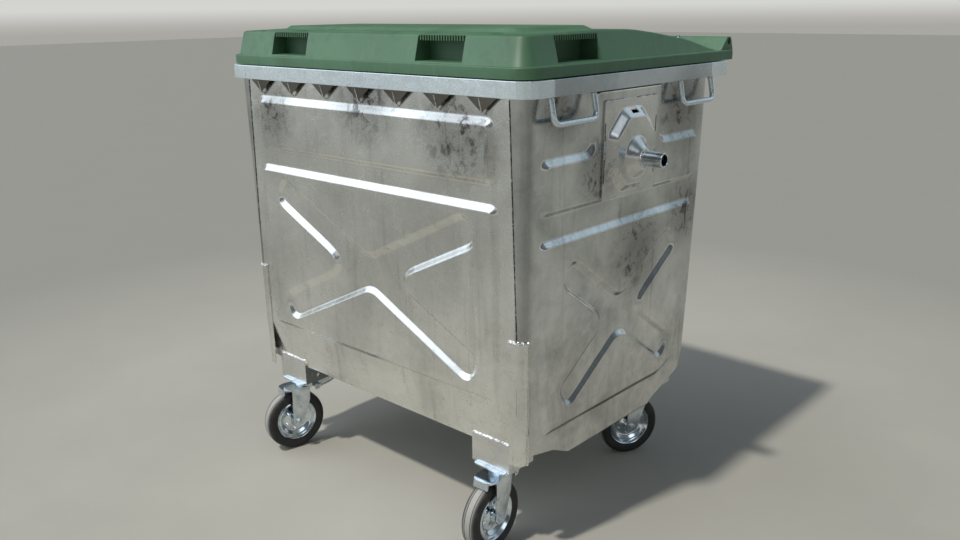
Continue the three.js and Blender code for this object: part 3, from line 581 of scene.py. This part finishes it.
def weld_bead(path, radius=2.4, pitch=3.4, seed=0):
    """A rippled weld bead along a path."""
    path = np.asarray(path, float)
    steps = np.linalg.norm(np.diff(path, axis=0), axis=1)
    along = np.concatenate([[0], np.cumsum(steps)])
    count = max(6, int(along[-1] / pitch * 3))
    t = np.linspace(0, along[-1], count)
    rng = np.random.default_rng(seed)
    ripple = 1 + 0.16 * np.sin(t / pitch * 2 * math.pi) + rng.uniform(-0.14, 0.14, count)
    ripple[[0, -1]] = 0.45
    centre = np.column_stack([np.interp(t, along, path[:, k]) for k in range(3)])
    return tube(centre + rng.uniform(-0.12, 0.12, (count, 3)) * radius, radius * ripple, 8)


def grid_solid(grid, thickness):
    """A closed sheet, thickened inward. Seen from outside, rows run down and columns to the right."""
    rows, cols = grid.shape[:2]
    down, right = np.gradient(grid, axis=0), np.gradient(grid, axis=1)
    normal = np.cross(down, right)
    normal /= np.linalg.norm(normal, axis=2)[:, :, None]
    points = np.concatenate([grid.reshape(-1, 3), (grid - normal * thickness).reshape(-1, 3)])
    index = np.arange(rows * cols).reshape(rows, cols)
    a, b, c, d = index[:-1, :-1], index[:-1, 1:], index[1:, 1:], index[1:, :-1]
    outer = np.stack([a, d, c, b], -1).reshape(-1, 4)
    inner = np.stack([a, b, c, d], -1).reshape(-1, 4) + rows * cols
    loop = np.concatenate([index[0, :], index[1:, -1], index[-1, -2::-1], index[-2:0:-1, 0]])
    after = np.roll(loop, -1)
    border = np.stack([loop, after, after + rows * cols, loop + rows * cols], -1)
    return points, np.concatenate([outer, inner, border])


def inside_distance(outline, x, y):
    """Distance from points to a closed outline, positive inside it."""
    best = np.full(x.shape, np.inf)
    inside = np.zeros(x.shape, bool)
    for (x0, y0), (x1, y1) in zip(outline, np.roll(outline, -1, 0)):
        ex, ey = x1 - x0, y1 - y0
        if math.hypot(ex, ey) < 1e-9:
            continue
        t = np.clip(((x - x0) * ex + (y - y0) * ey) / (ex * ex + ey * ey), 0, 1)
        best = np.minimum(best, np.hypot(x - x0 - t * ex, y - y0 - t * ey))
        crosses = (y0 > y) != (y1 > y)
        inside ^= crosses & (x < x0 + (y - y0) / (ey if ey else 1) * ex)
    return np.where(inside, best, -best)


def slope(t, fillet=0.2):
    """A straight ramp from 0 to 1 with rounded ends."""
    t = np.clip(t, 0, 1)
    k = 1 / (1 - fillet)
    low = k * t * t / (2 * fillet)
    high = 1 - k * (1 - t) ** 2 / (2 * fillet)
    return np.where(t < fillet, low, np.where(t > 1 - fillet, high, k * (t - fillet / 2)))


def pressed(outline, x, y, height=EMBOSS, bevel=BEVEL, soft=SOFT):
    """Height of a pressing with a bevelled edge."""
    return height * slope((inside_distance(outline, x, y) + soft) / (bevel + 2 * soft))


def waviness(x, y, seed, size=0.45):
    """The slight waves of thin sheet, in millimetres."""
    rng = np.random.default_rng(seed)
    total = np.zeros(x.shape)
    for _ in range(9):
        angle = rng.uniform(0, math.pi)
        length = rng.uniform(110, 420)
        phase = rng.uniform(0, 2 * math.pi)
        total += np.sin((x * math.cos(angle) + y * math.sin(angle)) * 2 * math.pi / length + phase)
    return total * size / 3


# ---- tub


def cross_outline(x, y, reach, tilt, half_width):
    """A broad X with rounded arms."""
    along = np.array([1, tilt]) / math.hypot(1, tilt)
    across = np.array([-along[1], along[0]]) * half_width
    tip = along * reach
    tip_r = half_width - 2
    notch_y, notch_x = half_width / along[0], half_width / along[1]

    def arm(sx, sy):
        return [(x + sx * (tip[0] - across[0]), y + sy * (tip[1] - across[1]), tip_r),
                (x + sx * (tip[0] + across[0]), y + sy * (tip[1] + across[1]), tip_r)]

    corners = arm(1, 1) + [(x, y + notch_y, 60)] + arm(-1, 1)[::-1] + [(x - notch_x, y, 40)]
    corners += arm(-1, -1) + [(x, y - notch_y, 60)] + arm(1, -1)[::-1] + [(x + notch_x, y, 40)]
    return rounded(corners)


TOP_BAND = rounded(rectangle(-476, 1008, 476, 1170), 28)
FRONT_FIELD = rounded(rectangle(-486, 440, 486, 962), 28)
REAR_FIELD = rounded(rectangle(-486, 560, 486, 962), 28)
FRONT_PRESSINGS = ([TOP_BAND, FRONT_FIELD], cross_outline(4, 704, 450, 0.48, 48))
REAR_PRESSINGS = ([TOP_BAND, REAR_FIELD], cross_outline(0, 761, 430, 0.32, 42))
END_PRESSINGS = ([
    rounded([(-359, 929), (366, 929), (366, 1070), (161, 1070, 30), (161, 1230), (-161, 1230),
             (-161, 1070, 30), (-359, 1070)], 26),
    rounded([(-318, 338, 16), (230, 338, 50), (300, 366, 40), (330, 440, 50), (360, 560, 80), (360, 870),
             (-358, 870), (-342, 420, 40)], 24),
], cross_outline(2, 598, 314, 0.7, 44))


def press_height(pressings, u, v):
    """How far the sheet stands out at (u, v)."""
    raised, sunk = pressings
    height = np.zeros(u.shape)
    for outline in raised:
        height = np.maximum(height, pressed(outline, u, v))
    return np.maximum(height - pressed(sunk, u, v), 0)


def front_y(z):
    """The front wall's face."""
    wall = TUB_FRONT_Y + LEAN_FRONT * (TUB_TOP - z)
    foot = FRONT_FOOT[0] - FRONT_TURN_IN * (z - FRONT_FOOT[1])
    return np.maximum(wall, foot)


def rear_y(z):
    """The rear wall's face, with its curved foot."""
    wall = TUB_REAR_Y - LEAN_REAR * (TUB_TOP - z)
    foot = np.interp(z, *zip(*REAR_FOOT_BENDS))
    return np.minimum(wall, foot)


def side_x(z):
    return TUB_HALF_X - LEAN_X * (TUB_TOP - z)


def seam_x(z):
    return np.interp(z, (SLEEVE_TOP, TUB_TOP), (SEAM_X_LOW, SEAM_X_TOP))


def raise_sheet(grid, height):
    """A grid of points moved outward along its own normals."""
    normal = np.cross(np.gradient(grid, axis=0), np.gradient(grid, axis=1))
    normal /= np.linalg.norm(normal, axis=2)[:, :, None]
    return grid + normal * height[:, :, None]


def long_wall(face_y, foot_z, pressings, direction, cell, seed):
    """The front or rear wall between its corner seams. Direction is 1 for the front, -1 for the rear."""
    rows, cols = int((TUB_TOP - foot_z) / cell), int(2 * SEAM_X_LOW / cell)
    z = np.linspace(TUB_TOP, foot_z, rows)[:, None] * np.ones(cols)
    s = np.linspace(-1, 1, cols)[None, :] * np.ones((rows, 1))
    x = direction * s * (seam_x(z) - SEAM_GAP)
    grid = np.stack([x, face_y(z), z], -1)
    edge_free = np.clip((1 - np.abs(s)) * 12, 0, 1)
    height = press_height(pressings, x * direction, z) + waviness(x, z, seed) * edge_free
    return raise_sheet(grid, height)


def corner_columns(z, radius, face, sign):
    """Columns round an upright corner, from the long wall's seam to the end wall."""
    start, stop = seam_x(z) + SEAM_GAP, side_x(z) - radius
    columns = []
    for share in np.linspace(0, 1, 5)[:-1]:
        columns.append(np.stack([start + (stop - start) * share, face, z], -1))
    for angle in np.radians(np.linspace(90, 0, 8)[:-1]):
        across = face - sign * radius * (1 - math.sin(angle))
        columns.append(np.stack([stop + radius * math.cos(angle), across, z], -1))
    return np.stack(columns, 1)


def end_wall(cell, seed):
    """The right end wall with its two rounded upright corners and a turned-in lower edge."""
    foot_front, foot_rear = FRONT_FOOT[1], REAR_FOOT_Z
    turn = 3.0  # radius of the lower edge
    rows = int((TUB_TOP - min(z for _, z in FLOOR_BENDS)) / cell)
    cols = int((TUB_REAR_Y - TUB_FRONT_Y) / cell)
    t = np.linspace(0, 1, rows)
    s = np.linspace(0, 1, cols)
    z_front = TUB_TOP + (foot_front + turn - TUB_TOP) * t
    z_rear = TUB_TOP + (foot_rear + turn - TUB_TOP) * t
    r_front = np.interp(z_front, (foot_front, FRONT_TAPER_Z), (FOOT_CORNER_R, CORNER_R))
    r_rear = np.interp(z_rear, (foot_rear, REAR_TAPER_Z), (FOOT_CORNER_R, CORNER_R))
    left = np.stack([front_y(z_front) + r_front, z_front], -1)
    right = np.stack([rear_y(z_rear) - r_rear, z_rear], -1)
    bottom_y = left[-1, 0] + (right[-1, 0] - left[-1, 0]) * s
    bends = [(left[-1, 0], foot_front), *FLOOR_BENDS, (right[-1, 0], foot_rear)]
    bottom_z = np.interp(bottom_y, *zip(*bends)) + turn
    top_y = left[0, 0] + (right[0, 0] - left[0, 0]) * s
    top = np.stack([top_y, np.full(cols, TUB_TOP)], -1)
    bottom = np.stack([bottom_y, bottom_z], -1)
    tt, ss = t[:, None, None], s[None, :, None]
    flat = ((1 - tt) * top[None] + tt * bottom[None] + (1 - ss) * left[:, None] + ss * right[:, None]
            - (1 - ss) * (1 - tt) * top[0] - ss * (1 - tt) * top[-1]
            - (1 - ss) * tt * bottom[0] - ss * tt * bottom[-1])
    y, z = flat[:, :, 0], flat[:, :, 1]
    wall = np.stack([side_x(z), y, z], -1)
    edge_free = np.clip(np.minimum(s, 1 - s)[None, :] * 12, 0, 1)
    wall = raise_sheet(wall, press_height(END_PRESSINGS, y, z) + waviness(y, z, seed) * edge_free)
    front = corner_columns(z_front, r_front, front_y(z_front), -1)
    rear = corner_columns(z_rear, r_rear, rear_y(z_rear), 1)[:, ::-1]
    grid = np.concatenate([front, wall, rear], 1)
    inward = np.zeros_like(grid[-1])
    inward[:, 0] = -1
    inward[:front.shape[1]] = (0, 1, 0)
    inward[front.shape[1] + cols:] = (0, -1, 0)
    lip = ((0.9, 2.1), (turn, turn), (10.0, turn))  # (inward, down) from the last row
    rows_below = [grid[-1] + inward * across - np.array((0, 0, down)) for across, down in lip]
    return np.concatenate([grid, np.stack(rows_below)], 0)


def build_tub():
    fine, coarse = 3.2, 6.0  # mesh cells of the walls that show in the photo, and of the others
    front = long_wall(front_y, FRONT_FOOT[1], FRONT_PRESSINGS, 1, fine, 3)
    steel("wall_front", grid_solid(front, SHEET), TUB_ZINC, ["front_panel"])
    rear = long_wall(rear_y, REAR_FOOT_Z, REAR_PRESSINGS, -1, coarse, 4)
    steel("wall_rear", grid_solid(rear, SHEET), TUB_ZINC, ["rear_panel"])
    steel("wall_right", grid_solid(end_wall(fine, 5), SHEET), SIDE_ZINC_PAINTED_SHADE, ["side_panel_right"])
    steel("wall_left", mirrored_x(grid_solid(end_wall(coarse, 6), SHEET)), SIDE_ZINC_PAINTED_SHADE, ["side_panel_left"])


build_tub()

# ---- corner sleeves, seams and brackets


def sleeve_sheet():
    """The straight sleeve round the front right corner."""
    z = np.linspace(SLEEVE_TOP, SLEEVE_BOTTOM, SLEEVE_ROWS)
    out = GAP + SLEEVE_SHEET
    radius = CORNER_R + out
    face = TUB_FRONT_Y + LEAN_FRONT * (TUB_TOP - z) - out
    side = side_x(z) + out
    columns = [np.stack([x + 0 * z, face, z], -1) for x in np.linspace(SLEEVE_INNER_X, 530, 6)]
    for angle in np.radians(np.linspace(90, 0, 14)):
        x = side - radius + radius * math.cos(angle)
        columns.append(np.stack([x, face + radius * (1 - math.sin(angle)), z], -1))
    columns.append(np.stack([side, SLEEVE_WRAP_Y + 0 * z, z], -1))
    return grid_solid(np.stack(columns, 1), SLEEVE_SHEET)


def build_corners():
    sleeve = sleeve_sheet()
    both_sides("sleeve_{}", sleeve, TUB_ZINC, "corner_sleeve_{}")
    top_row = sleeve[0].reshape(2, SLEEVE_ROWS, -1, 3)[0, 0]
    bead = weld_bead(top_row + (0, 0, 0.6), 3.4, 4.2, 1)
    seam_z = np.linspace(SLEEVE_TOP + 5, RIM_BOTTOM - 5, 30)
    front_seam = np.stack([seam_x(seam_z), front_y(seam_z) - 0.4, seam_z], -1)
    rear_seam = np.stack([seam_x(seam_z), rear_y(seam_z) + 0.4, seam_z], -1)
    both_sides("sleeve_bead_{}", bead, WELD)
    both_sides("front_seam_{}", weld_bead(front_seam, 1.5, 5.5, 2), SEAM)
    both_sides("rear_seam_{}", weld_bead(rear_seam, 1.5, 5.5, 3), SEAM)


def build_bracket_beads():
    """Weld beads where the caster brackets meet the tub."""
    seam, (high, low) = BRACKET_SEAM_Z, BRACKET_EDGE_Z
    for name, (sx, sy) in CORNERS.items():
        edges = [sx * CASTER_X + side * BRACKET_HALF_X for side in (-1, 1)]
        y = front_y(seam) - 0.5 if sy < 0 else rear_y(seam) + 8
        beads = [weld_bead([(x, y, seam) for x in edges], 2.8, 4.0, 11)]
        for x in edges:
            beads.append(weld_bead([(x, y, high), (x, y - 4 * sy, low)], 2.4, 4.0, 12))
        steel(f"bracket_bead_{name}", join(*beads), WELD)


# ---- rim, comb and handles


def build_rim_beads():
    """Butt welds where the rim's corner pieces meet its straights."""
    profile = ((10, RIM_TOP), (0.6, RIM_TOP - 0.6), (0, RIM_BOTTOM + 2))  # (inward, z) over the rim's edge
    front = [(RIM_X - RIM_CORNER, RIM_FRONT_Y + inward, z) for inward, z in profile]
    side = [(RIM_X - inward, RIM_FRONT_Y + RIM_CORNER, z) for inward, z in profile]
    rear = [(RIM_X - inward, RIM_REAR_Y - RIM_CORNER, z) for inward, z in profile]
    paths = [np.array(path) - (0, 0, 0.9) for path in (front, side, rear)]
    beads = [weld_bead(path, 1.0, 2.2, k) for k, path in enumerate(paths)]
    both_sides("rim_bead_{}", join(*beads), RIM_ZINC_PAINTED_REFLECTION)


def build_comb_beads():
    """A line of weld spots down the ridge of each gusset, and the weld under each point."""
    beads = []
    apex = RIM_BOTTOM - COMB_DEPTH
    for k in range(COMB_COUNT):
        x = (k - (COMB_COUNT - 1) / 2) * COMB_PITCH
        ridge = [(x, RIM_FRONT_Y + 4, RIM_BOTTOM - 3), (x, COMB_PLANE_Y, apex)]
        point = [(x, COMB_PLANE_Y + 1, apex + 4), (x, TUB_FRONT_Y - 1, apex - 5)]
        beads += [weld_bead(ridge, 1.4, 6.0, k), weld_bead(point, 2.2, 4.0, 20 + k)]
    steel("comb_beads", join(*beads), WELD)


def build_handles():
    for place, (y0, y1) in HANDLE_ENDS.items():
        top = RIM_BOTTOM - 2.5
        bend = HANDLE_BEND
        outline = rounded([(y0, top, 0), (y0, HANDLE_Z, bend), (y1, HANDLE_Z, bend), (y1, top, 0)], steps=9)
        x = np.interp(outline[:, 1], (HANDLE_Z, top), HANDLE_X)
        bar = tube(np.column_stack([x, outline]), HANDLE_R, 20)
        both_sides("bar_{}_" + place, bar, RIM_ZINC_PAINTED_REFLECTION, "handle_{}_" + place, 60)
        feet = [[(HANDLE_X[1] + dx, y, top - 1) for dx in (-8, 8)] for y in (y0, y1)]
        beads = [weld_bead(path, 3.6, 4.0, 5) for path in feet]
        both_sides(f"handle_bead_{place}_{{}}", join(*beads), WELD)


# ---- trunnions


def dish_plate(base):
    """The right trunnion plate with its raised octagon and cone, its face at a distance from the wall."""
    low, high = DISH_Z
    chamfer, half = DISH_CHAMFER, DISH_HALF_Y
    cut_y = half - chamfer
    right_half = [(cut_y, low), (half, low + chamfer), (half, high - chamfer), (cut_y, high)]
    left_half = [(-y, z) for y, z in reversed(right_half)]
    octagon = rounded(right_half + left_half, 40)
    cell = 2.4
    y, z = np.meshgrid(np.linspace(-PLATE_HALF_Y, PLATE_HALF_Y, int(2 * PLATE_HALF_Y / cell)),
                       np.linspace(PLATE_Z[1], PLATE_Z[0], int((PLATE_Z[1] - PLATE_Z[0]) / cell)))
    from_pin = np.hypot(y, z - TRUNNION_Z)
    out = base + pressed(octagon, y, z, DISH_HEIGHT, DISH_BEVEL, 2.5)
    out += CONE_HEIGHT * slope((CONE_R[1] + 2 - from_pin) / (CONE_R[1] - CONE_R[0] + 4), 0.15)
    plate = grid_solid(np.stack([side_x(z) + out, y, z], -1), TRUNNION_SHEET)
    face = side_x(TRUNNION_Z) + base
    vents = [box(face + 3, -15, v - 9, face + 60, 15, v + 9) for v in (high - 5, low + 5)]
    slots = [box(face - 30, y - 2, TRUNNION_Z + a, face + 30, y + 2, TRUNNION_Z + b)
             for y in (-PLATE_EDGE_Y, PLATE_EDGE_Y) for a, b in ((53, 98), (-57, 7))]
    return cut(plate, join(*vents, *slots))


def build_trunnions():
    """The plates, the tubes that stand in them, and their weld beads."""
    base = EMBOSS + GAP + TRUNNION_SHEET
    plate = dish_plate(base)
    root = side_x(TRUNNION_Z) + EMBOSS + 3 * GAP
    r, bore, tip = TRUNNION_R, TRUNNION_BORE_R, TRUNNION_TIP_X - root
    section = [(bore, 0), (r, 0), (r, tip - 1.2), (r - 1.2, tip), (bore + 1, tip), (bore, tip - 1)]
    pin = moved(lathe(section, 48, "x"), x=root, z=TRUNNION_Z)
    for side, shape, tube_shape in (("right", plate, pin), ("left", mirrored_x(plate), mirrored_x(pin))):
        steel(f"dish_{side}", shape, PLATE_ZINC, [f"trunnion_plate_{side}"], 40)
        steel(f"pin_{side}", tube_shape, CHROME, [f"trunnion_{side}"])
    turns = np.radians(np.linspace(0, 360, 40))
    collar_x = side_x(TRUNNION_Z) + base + DISH_HEIGHT + CONE_HEIGHT + 0 * turns
    collar_r = r + 1.5
    collar = np.stack([collar_x, collar_r * np.cos(turns), TRUNNION_Z + collar_r * np.sin(turns)], -1)
    beads = [weld_bead(collar, 3.2, 4.5, 6)]
    low, high = PLATE_Z
    for y0, y1, z in ((-PLATE_EDGE_Y, -30, high), (30, PLATE_EDGE_Y, high), (-90, -20, low)):
        x = side_x(z) + EMBOSS + 2
        beads.append(weld_bead([(x, y0, z), (x, y1, z)], 2.2, 4.0, int(y1) + 200))
    both_sides("trunnion_beads_{}", join(*beads), WELD)


# ---- wheels


def build_wheels():
    """Tyres and wheel discs, from (radius, sideways) sections of one side."""
    half_tread = [(100, 8), (98.8, 9), (98.8, 10), (100, 11), (99.1, 14.9), (96.8, 19.8), (92.8, 23.3),
                  (87, 24.6), (78, 23.6), (69.2, 21)]
    half_disc = [(7.0, 27), (16, 27), (17.5, 25.5), (18.5, 12), (22, 8.5), (29, 6.6), (41, 6.2), (47, 9),
                 (51, 14), (55, 15.8), (59, 14.5), (62, 11), (64.5, 13), (66.5, 19), (68.6, 20.6)]
    tread = [(r, -y) for r, y in reversed(half_tread)] + half_tread
    disc = half_disc[::-1] + [(r, -y) for r, y in half_disc]
    hole, circle_r, holes = prism(16, 5.5, -40, 40, "y"), 34, []
    for angle in np.radians(np.arange(20, 380, 60)):
        holes.append(moved(hole, x=circle_r * math.cos(angle), z=circle_r * math.sin(angle)))
    tyre, rim = lathe(tread, 96, "y"), cut(lathe(disc, 72, "y"), join(*holes))
    points = np.asarray(tyre[0], float)
    worn = np.clip((np.hypot(points[:, 0], points[:, 2]) - 98.9) / 0.8, 0, 1)  # 1 on the running surface
    for name, (sx, sy) in CORNERS.items():
        at = (sx * CASTER_X, sy * CASTER_Y, 0)
        for part, shape, material, slot, stands_for in (
                ("tread", tyre, RUBBER, "rubber_tyre", f"tyre_{name}"),
                ("disc", rim, CHROME, "zinc_plated_steel", f"wheel_rim_{name}")):
            placed = turned_about_z(moved(shape, x=-TRAIL, z=WHEEL_R), SWIVEL_TURN[name], at)
            obj = piece(f"{part}_{name}", placed, material, f"wheel_{name}", [stands_for], smooth=38)
            if part == "tread":
                obj.data.attributes.new("worn", "FLOAT", "POINT").data.foreach_set("value", worn)


# ---- lid


def lid_crest(y):
    """Height of the lid's top along its length, softened where the slopes meet."""
    return np.mean([np.interp(y + d, LID_CREST_Y, LID_CREST_Z) for d in np.linspace(-42, 42, 15)], 0)


LID_CROWN = rounded(rectangle(-474, -330, 474, -12), 40)
LID_PADS = [rounded(rectangle(x0, -398, x1, -352), 10)
            for x0, x1 in ((-455, -300), (-236, 236), (300, 455))]


def lid_top(x, y):
    """Height of the lid's top with its crown and its three pads."""
    crest = lid_crest(y)
    raised = (LID_CROWN_TOP - 0.3 - crest) * pressed(LID_CROWN, x, y, 1.0, 22)
    for pad in LID_PADS:
        raised = np.maximum(raised, pressed(pad, x, y, 4, 4, 1))
    return crest + raised


def lid_outline(front, rear, half_x, front_r, rear_r):
    """Points round the lid in plan, evenly matched from ring to ring, with their inward directions."""
    corners = ((half_x, front, front_r, -90), (half_x, rear, rear_r, 0),
               (-half_x, rear, rear_r, 90), (-half_x, front, front_r, 180))
    arcs = []
    for x, y, r, start in corners:
        centre = np.array([x - math.copysign(r, x), y - math.copysign(r, y - (front + rear) / 2)])
        turns = np.radians(start + np.linspace(0, 90, 9))
        outwards = [np.array([math.cos(a), math.sin(a)]) for a in turns]
        arcs.append([(centre + r * out, -out) for out in outwards])
    pairs = []
    for arc, following in zip(arcs, arcs[1:] + arcs[:1]):
        last, direction = arc[-1]
        step = following[0][0] - last
        pairs += arc + [(last + step * share, direction) for share in np.linspace(0, 1, 120)[1:-1]]
    points, inward = zip(*pairs)
    return np.array(points), np.array(inward)


def lid_block(d, steps):
    """The lid as a solid block, its skin moved inward by a distance."""
    skirt, skirt_in = lid_outline(LID_FRONT_Y, LID_REAR_Y, LID_X, 55, 16)
    base, base_in = lid_outline(LID_BASE_FRONT, LID_BASE_REAR, LID_BASE_X, 44, 12)

    def ring(outline, inward, inset, z):
        flat = outline + inward * np.reshape(inset, (-1, 1))
        return np.column_stack([flat, np.broadcast_to(z, len(flat))])

    bottom = LID_BOTTOM - (30 if d else 0)
    rings = [ring(skirt, skirt_in, d, bottom)]
    for across, down in ((0, 4), (0.6, 1.6), (2.2, 0.3), (4, 0)):
        rings.append(ring(skirt, skirt_in, d + across, LID_LEDGE - down - d))
    crest = np.maximum(lid_crest(base[:, 1]) - d, LID_LEDGE + 1 - d)
    lift = crest - LID_LEDGE + d
    soft = np.minimum(5.0, lift * 0.45)
    sideways = np.where(base_in[:, 1] < -0.9, 0.0, LID_DRAFT)
    rings.append(ring(base, base_in, d - 1.5, LID_LEDGE - d + 0.1))
    rings.append(ring(base, base_in, d + 0.3, LID_LEDGE - d + np.minimum(1.8, lift * 0.3)))
    for share in (1.0, 0.45, 0.12, 0.0):
        inset = d + sideways * (lift - soft * share) + soft * (1 - share) ** 2
        rings.append(ring(base, base_in, inset, crest - soft * share))
    edge = rings[-1]
    middle = np.array([0.0, (LID_BASE_FRONT + LID_BASE_REAR) / 2])
    for scale in np.linspace(1, 0, steps + 1)[1:-1] ** 0.9:
        flat = middle + (edge[:, :2] - middle) * scale
        top = np.maximum(lid_top(flat[:, 0], flat[:, 1]), LID_LEDGE + 1) - d
        rings.append(np.column_stack([flat, top]))
    return stacked(rings)


def build_lid():
    """The shell with its hand pockets, the teeth over the pockets, and the hinge ridge."""
    outer, inner = lid_block(0.0, 66), lid_block(LID_WALL, 22)
    low, high = POCKET_Z
    pockets = [box(x0, y0, low, x1, y1, high) for x0, y0, x1, y1 in LID_POCKETS]
    w = LID_WALL
    linings = [box(x0 - w, y0 - w, low - w, x1 + w, y1 + w, high + w) for x0, y0, x1, y1 in LID_POCKETS]
    shell = cut(cut(outer, join(*pockets)), cut(inner, join(*linings)))
    piece("lid_shell", shell, GREEN, "lid", ["lid"], smooth=38)

    teeth = []
    pitch, drop = 9.0, 12.0
    front = LID_BASE_FRONT + LID_DRAFT * (high - LID_LEDGE)
    for x0, _, x1, _ in LID_POCKETS[:2]:
        for x in np.arange(x0 + 6, x1 - 6, pitch):
            teeth.append(box(x, front - 1, high - drop, x + 4, front + 2.5, high + 1))
    side = LID_BASE_X - LID_DRAFT * (high - LID_LEDGE)
    for y in np.arange(LID_POCKETS[2][1] + 6, LID_POCKETS[2][3] - 6, pitch):
        teeth.append(box(side - 2.5, y, high - drop, side + 1, y + 4, high + 1))
        teeth.append(box(-side - 1, y, high - drop, -side + 2.5, y + 4, high + 1))
    piece("lid_teeth", join(*teeth), GREEN, "lid")

    stops = [-LID_X + 7] + [x + side * 8 for x in LUG_X for side in (-1, 1)] + [LID_X - 7]
    outline = rounded([(452, LID_LEDGE - 1), (LID_REAR_Y, LID_LEDGE - 1), (509, 1327, 7), (489, 1327, 7)])
    parts = [extruded(outline, a, b, "x") for a, b in zip(stops[::2], stops[1::2])]
    bore = moved(prism(28, 9, -650, 650, "x"), y=HINGE_Y, z=HINGE_Z)
    piece("lid_hinge_ridge", cut(join(*parts), bore), GREEN, "lid", smooth=38)


build_corners()
build_bracket_beads()
build_rim_beads()
build_comb_beads()
build_handles()
build_trunnions()
build_wheels()
build_lid()

# ---- CAD nodes that keep their own shape


def keep(name, material, bevel=0.6):
    """A CAD node with a real finish and softened edges."""
    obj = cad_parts[name]
    obj.data.materials.clear()
    obj.data.materials.append(material)
    weld = obj.modifiers.new("weld", "WELD")
    weld.merge_threshold = 1e-5
    flat = obj.modifiers.new("flat", "DECIMATE")
    flat.decimate_type = "DISSOLVE"
    flat.angle_limit = math.radians(1.5)
    edges = obj.modifiers.new("bevel", "BEVEL")
    edges.width = bevel * MM
    edges.segments = 2
    edges.limit_method = "ANGLE"
    edges.angle_limit = math.radians(35)


for name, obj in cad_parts.items():
    if obj.hide_render:
        continue
    if name == "drain_plug":
        keep(name, BLACK)
    elif name.startswith(("fork", "axle", "caster_plate", "brake", "hinge_rod")):
        keep(name, CHROME)
    elif name in ("rim_left", "rim_right"):
        keep(name, RIM_SIDE_ZINC_PAINTED_SHADE, 1.4)
    elif name.startswith("rim"):
        keep(name, RIM_ZINC_PAINTED_REFLECTION, 1.4)
    elif name.startswith("comb"):
        keep(name, SHADED_ZINC)
    else:
        keep(name, PLATE_ZINC)

# ---- floor, light and camera


def build_stage():
    """A plain pale floor, with painted shade that darkens it a little away from the container."""
    reach = 40.0
    corners = np.array([(x, y, 0) for x, y in rectangle(-reach, -reach, reach, reach)])
    floor = mesh_object("floor", corners, [(0, 1, 2, 3)])
    material, tree, shader, at = new_material("pale_floor")
    pale, paler, far = (0.345, 0.331, 0.294), (0.377, 0.363, 0.322), (0.245, 0.24, 0.215, 1)
    colour = ramp(tree, noise(tree, at, 1.6, 5, 0.6), [(0.3, pale), (0.7, paler)])
    away = vector_value(tree, "LENGTH", at)
    # Painted shade: the floor darker away from the container.
    colour = mix(tree, spread(tree, away, 1.5, 3.0, 0.0, 0.85), colour, far)
    tree.links.new(colour, shader.inputs["Base Color"])
    shader.inputs["Roughness"].default_value = 0.85
    shader.inputs["Specular IOR Level"].default_value = 0.2
    floor.data.materials.append(material)


# Direction of a bank's centre, where it is full and where it has faded out (degrees off), and colour
LIGHT_BANKS = (
    ((-0.62, -0.53, 0.58), 27, 40, (1.45, 1.62, 1.82, 1)),
    ((0.34, 0.81, 0.48), 12, 30, (0.52, 0.64, 0.74, 1)),
    ((0.69, -0.25, 0.68), 8, 17, (1.30, 1.42, 1.55, 1)),
)


def build_world():
    """Soft studio: a pale low horizon, dim walls, and soft bright banks for the metal to mirror."""
    world = bpy.data.worlds.new("studio")
    bpy.context.scene.world = world
    world.use_nodes = True
    tree = world.node_tree
    tree.nodes.clear()
    at = node(tree, "ShaderNodeTexCoord").outputs["Generated"]
    height = node(tree, "ShaderNodeSeparateXYZ", {"Vector": at}).outputs["Z"]
    colour = ramp(tree, spread(tree, height, -1, 1), [
        (0.49, (0.40, 0.39, 0.36)), (0.50, (0.66, 0.66, 0.64)), (0.54, (0.60, 0.61, 0.60)),
        (0.565, (0.11, 0.115, 0.115)), (0.68, (0.10, 0.11, 0.12)), (0.88, (0.17, 0.20, 0.23)),
    ])
    for centre, inner, outer, tint in LIGHT_BANKS:
        facing = vector_value(tree, "DOT_PRODUCT", at, centre)
        near, far = math.cos(math.radians(inner)), math.cos(math.radians(outer))
        colour = mix(tree, spread(tree, facing, far, near), colour, tint)
    background = node(tree, "ShaderNodeBackground", {"Color": colour, "Strength": 1.0})
    node(tree, "ShaderNodeOutputWorld", {"Surface": background.outputs[0]})


def build_key():
    """The key light: high in front and a little to the left, far away, with a softened edge."""
    data = bpy.data.lights.new("key", "SUN")
    data.energy = 2.55
    data.angle = math.radians(3)
    data.color = (1.0, 0.965, 0.90)
    shining = Vector((0.10, 0.57, -1.0))
    new_object("key", data).rotation_euler = shining.to_track_quat("-Z", "Y").to_euler()


def build_camera():
    """The viewing angle: from the front right, a little above the lid. Its place is in metres."""
    place = Vector((1.8487, -1.9615 + AXIS_Y, 1.4216))
    yaw, pitch, roll = math.radians(42.7), math.radians(16.7), math.radians(-0.7)
    forward = Vector((-math.sin(yaw) * math.cos(pitch), math.cos(yaw) * math.cos(pitch), -math.sin(pitch)))
    right = Vector((math.cos(yaw), math.sin(yaw), 0))
    up = right.cross(forward)
    across = right * math.cos(roll) + up * math.sin(roll)
    upward = -right * math.sin(roll) + up * math.cos(roll)
    data = bpy.data.cameras.new("camera")
    data.lens = 32.99
    data.sensor_width = 36.0
    data.clip_start = 0.05
    data.clip_end = 200
    camera = new_object("camera", data)
    axes = Matrix((across, upward, -forward)).transposed()
    camera.matrix_world = Matrix.Translation(place) @ axes.to_4x4()
    bpy.context.scene.camera = camera


build_stage()
build_world()
build_key()
build_camera()
bpy.context.scene.view_settings.view_transform = "Standard"
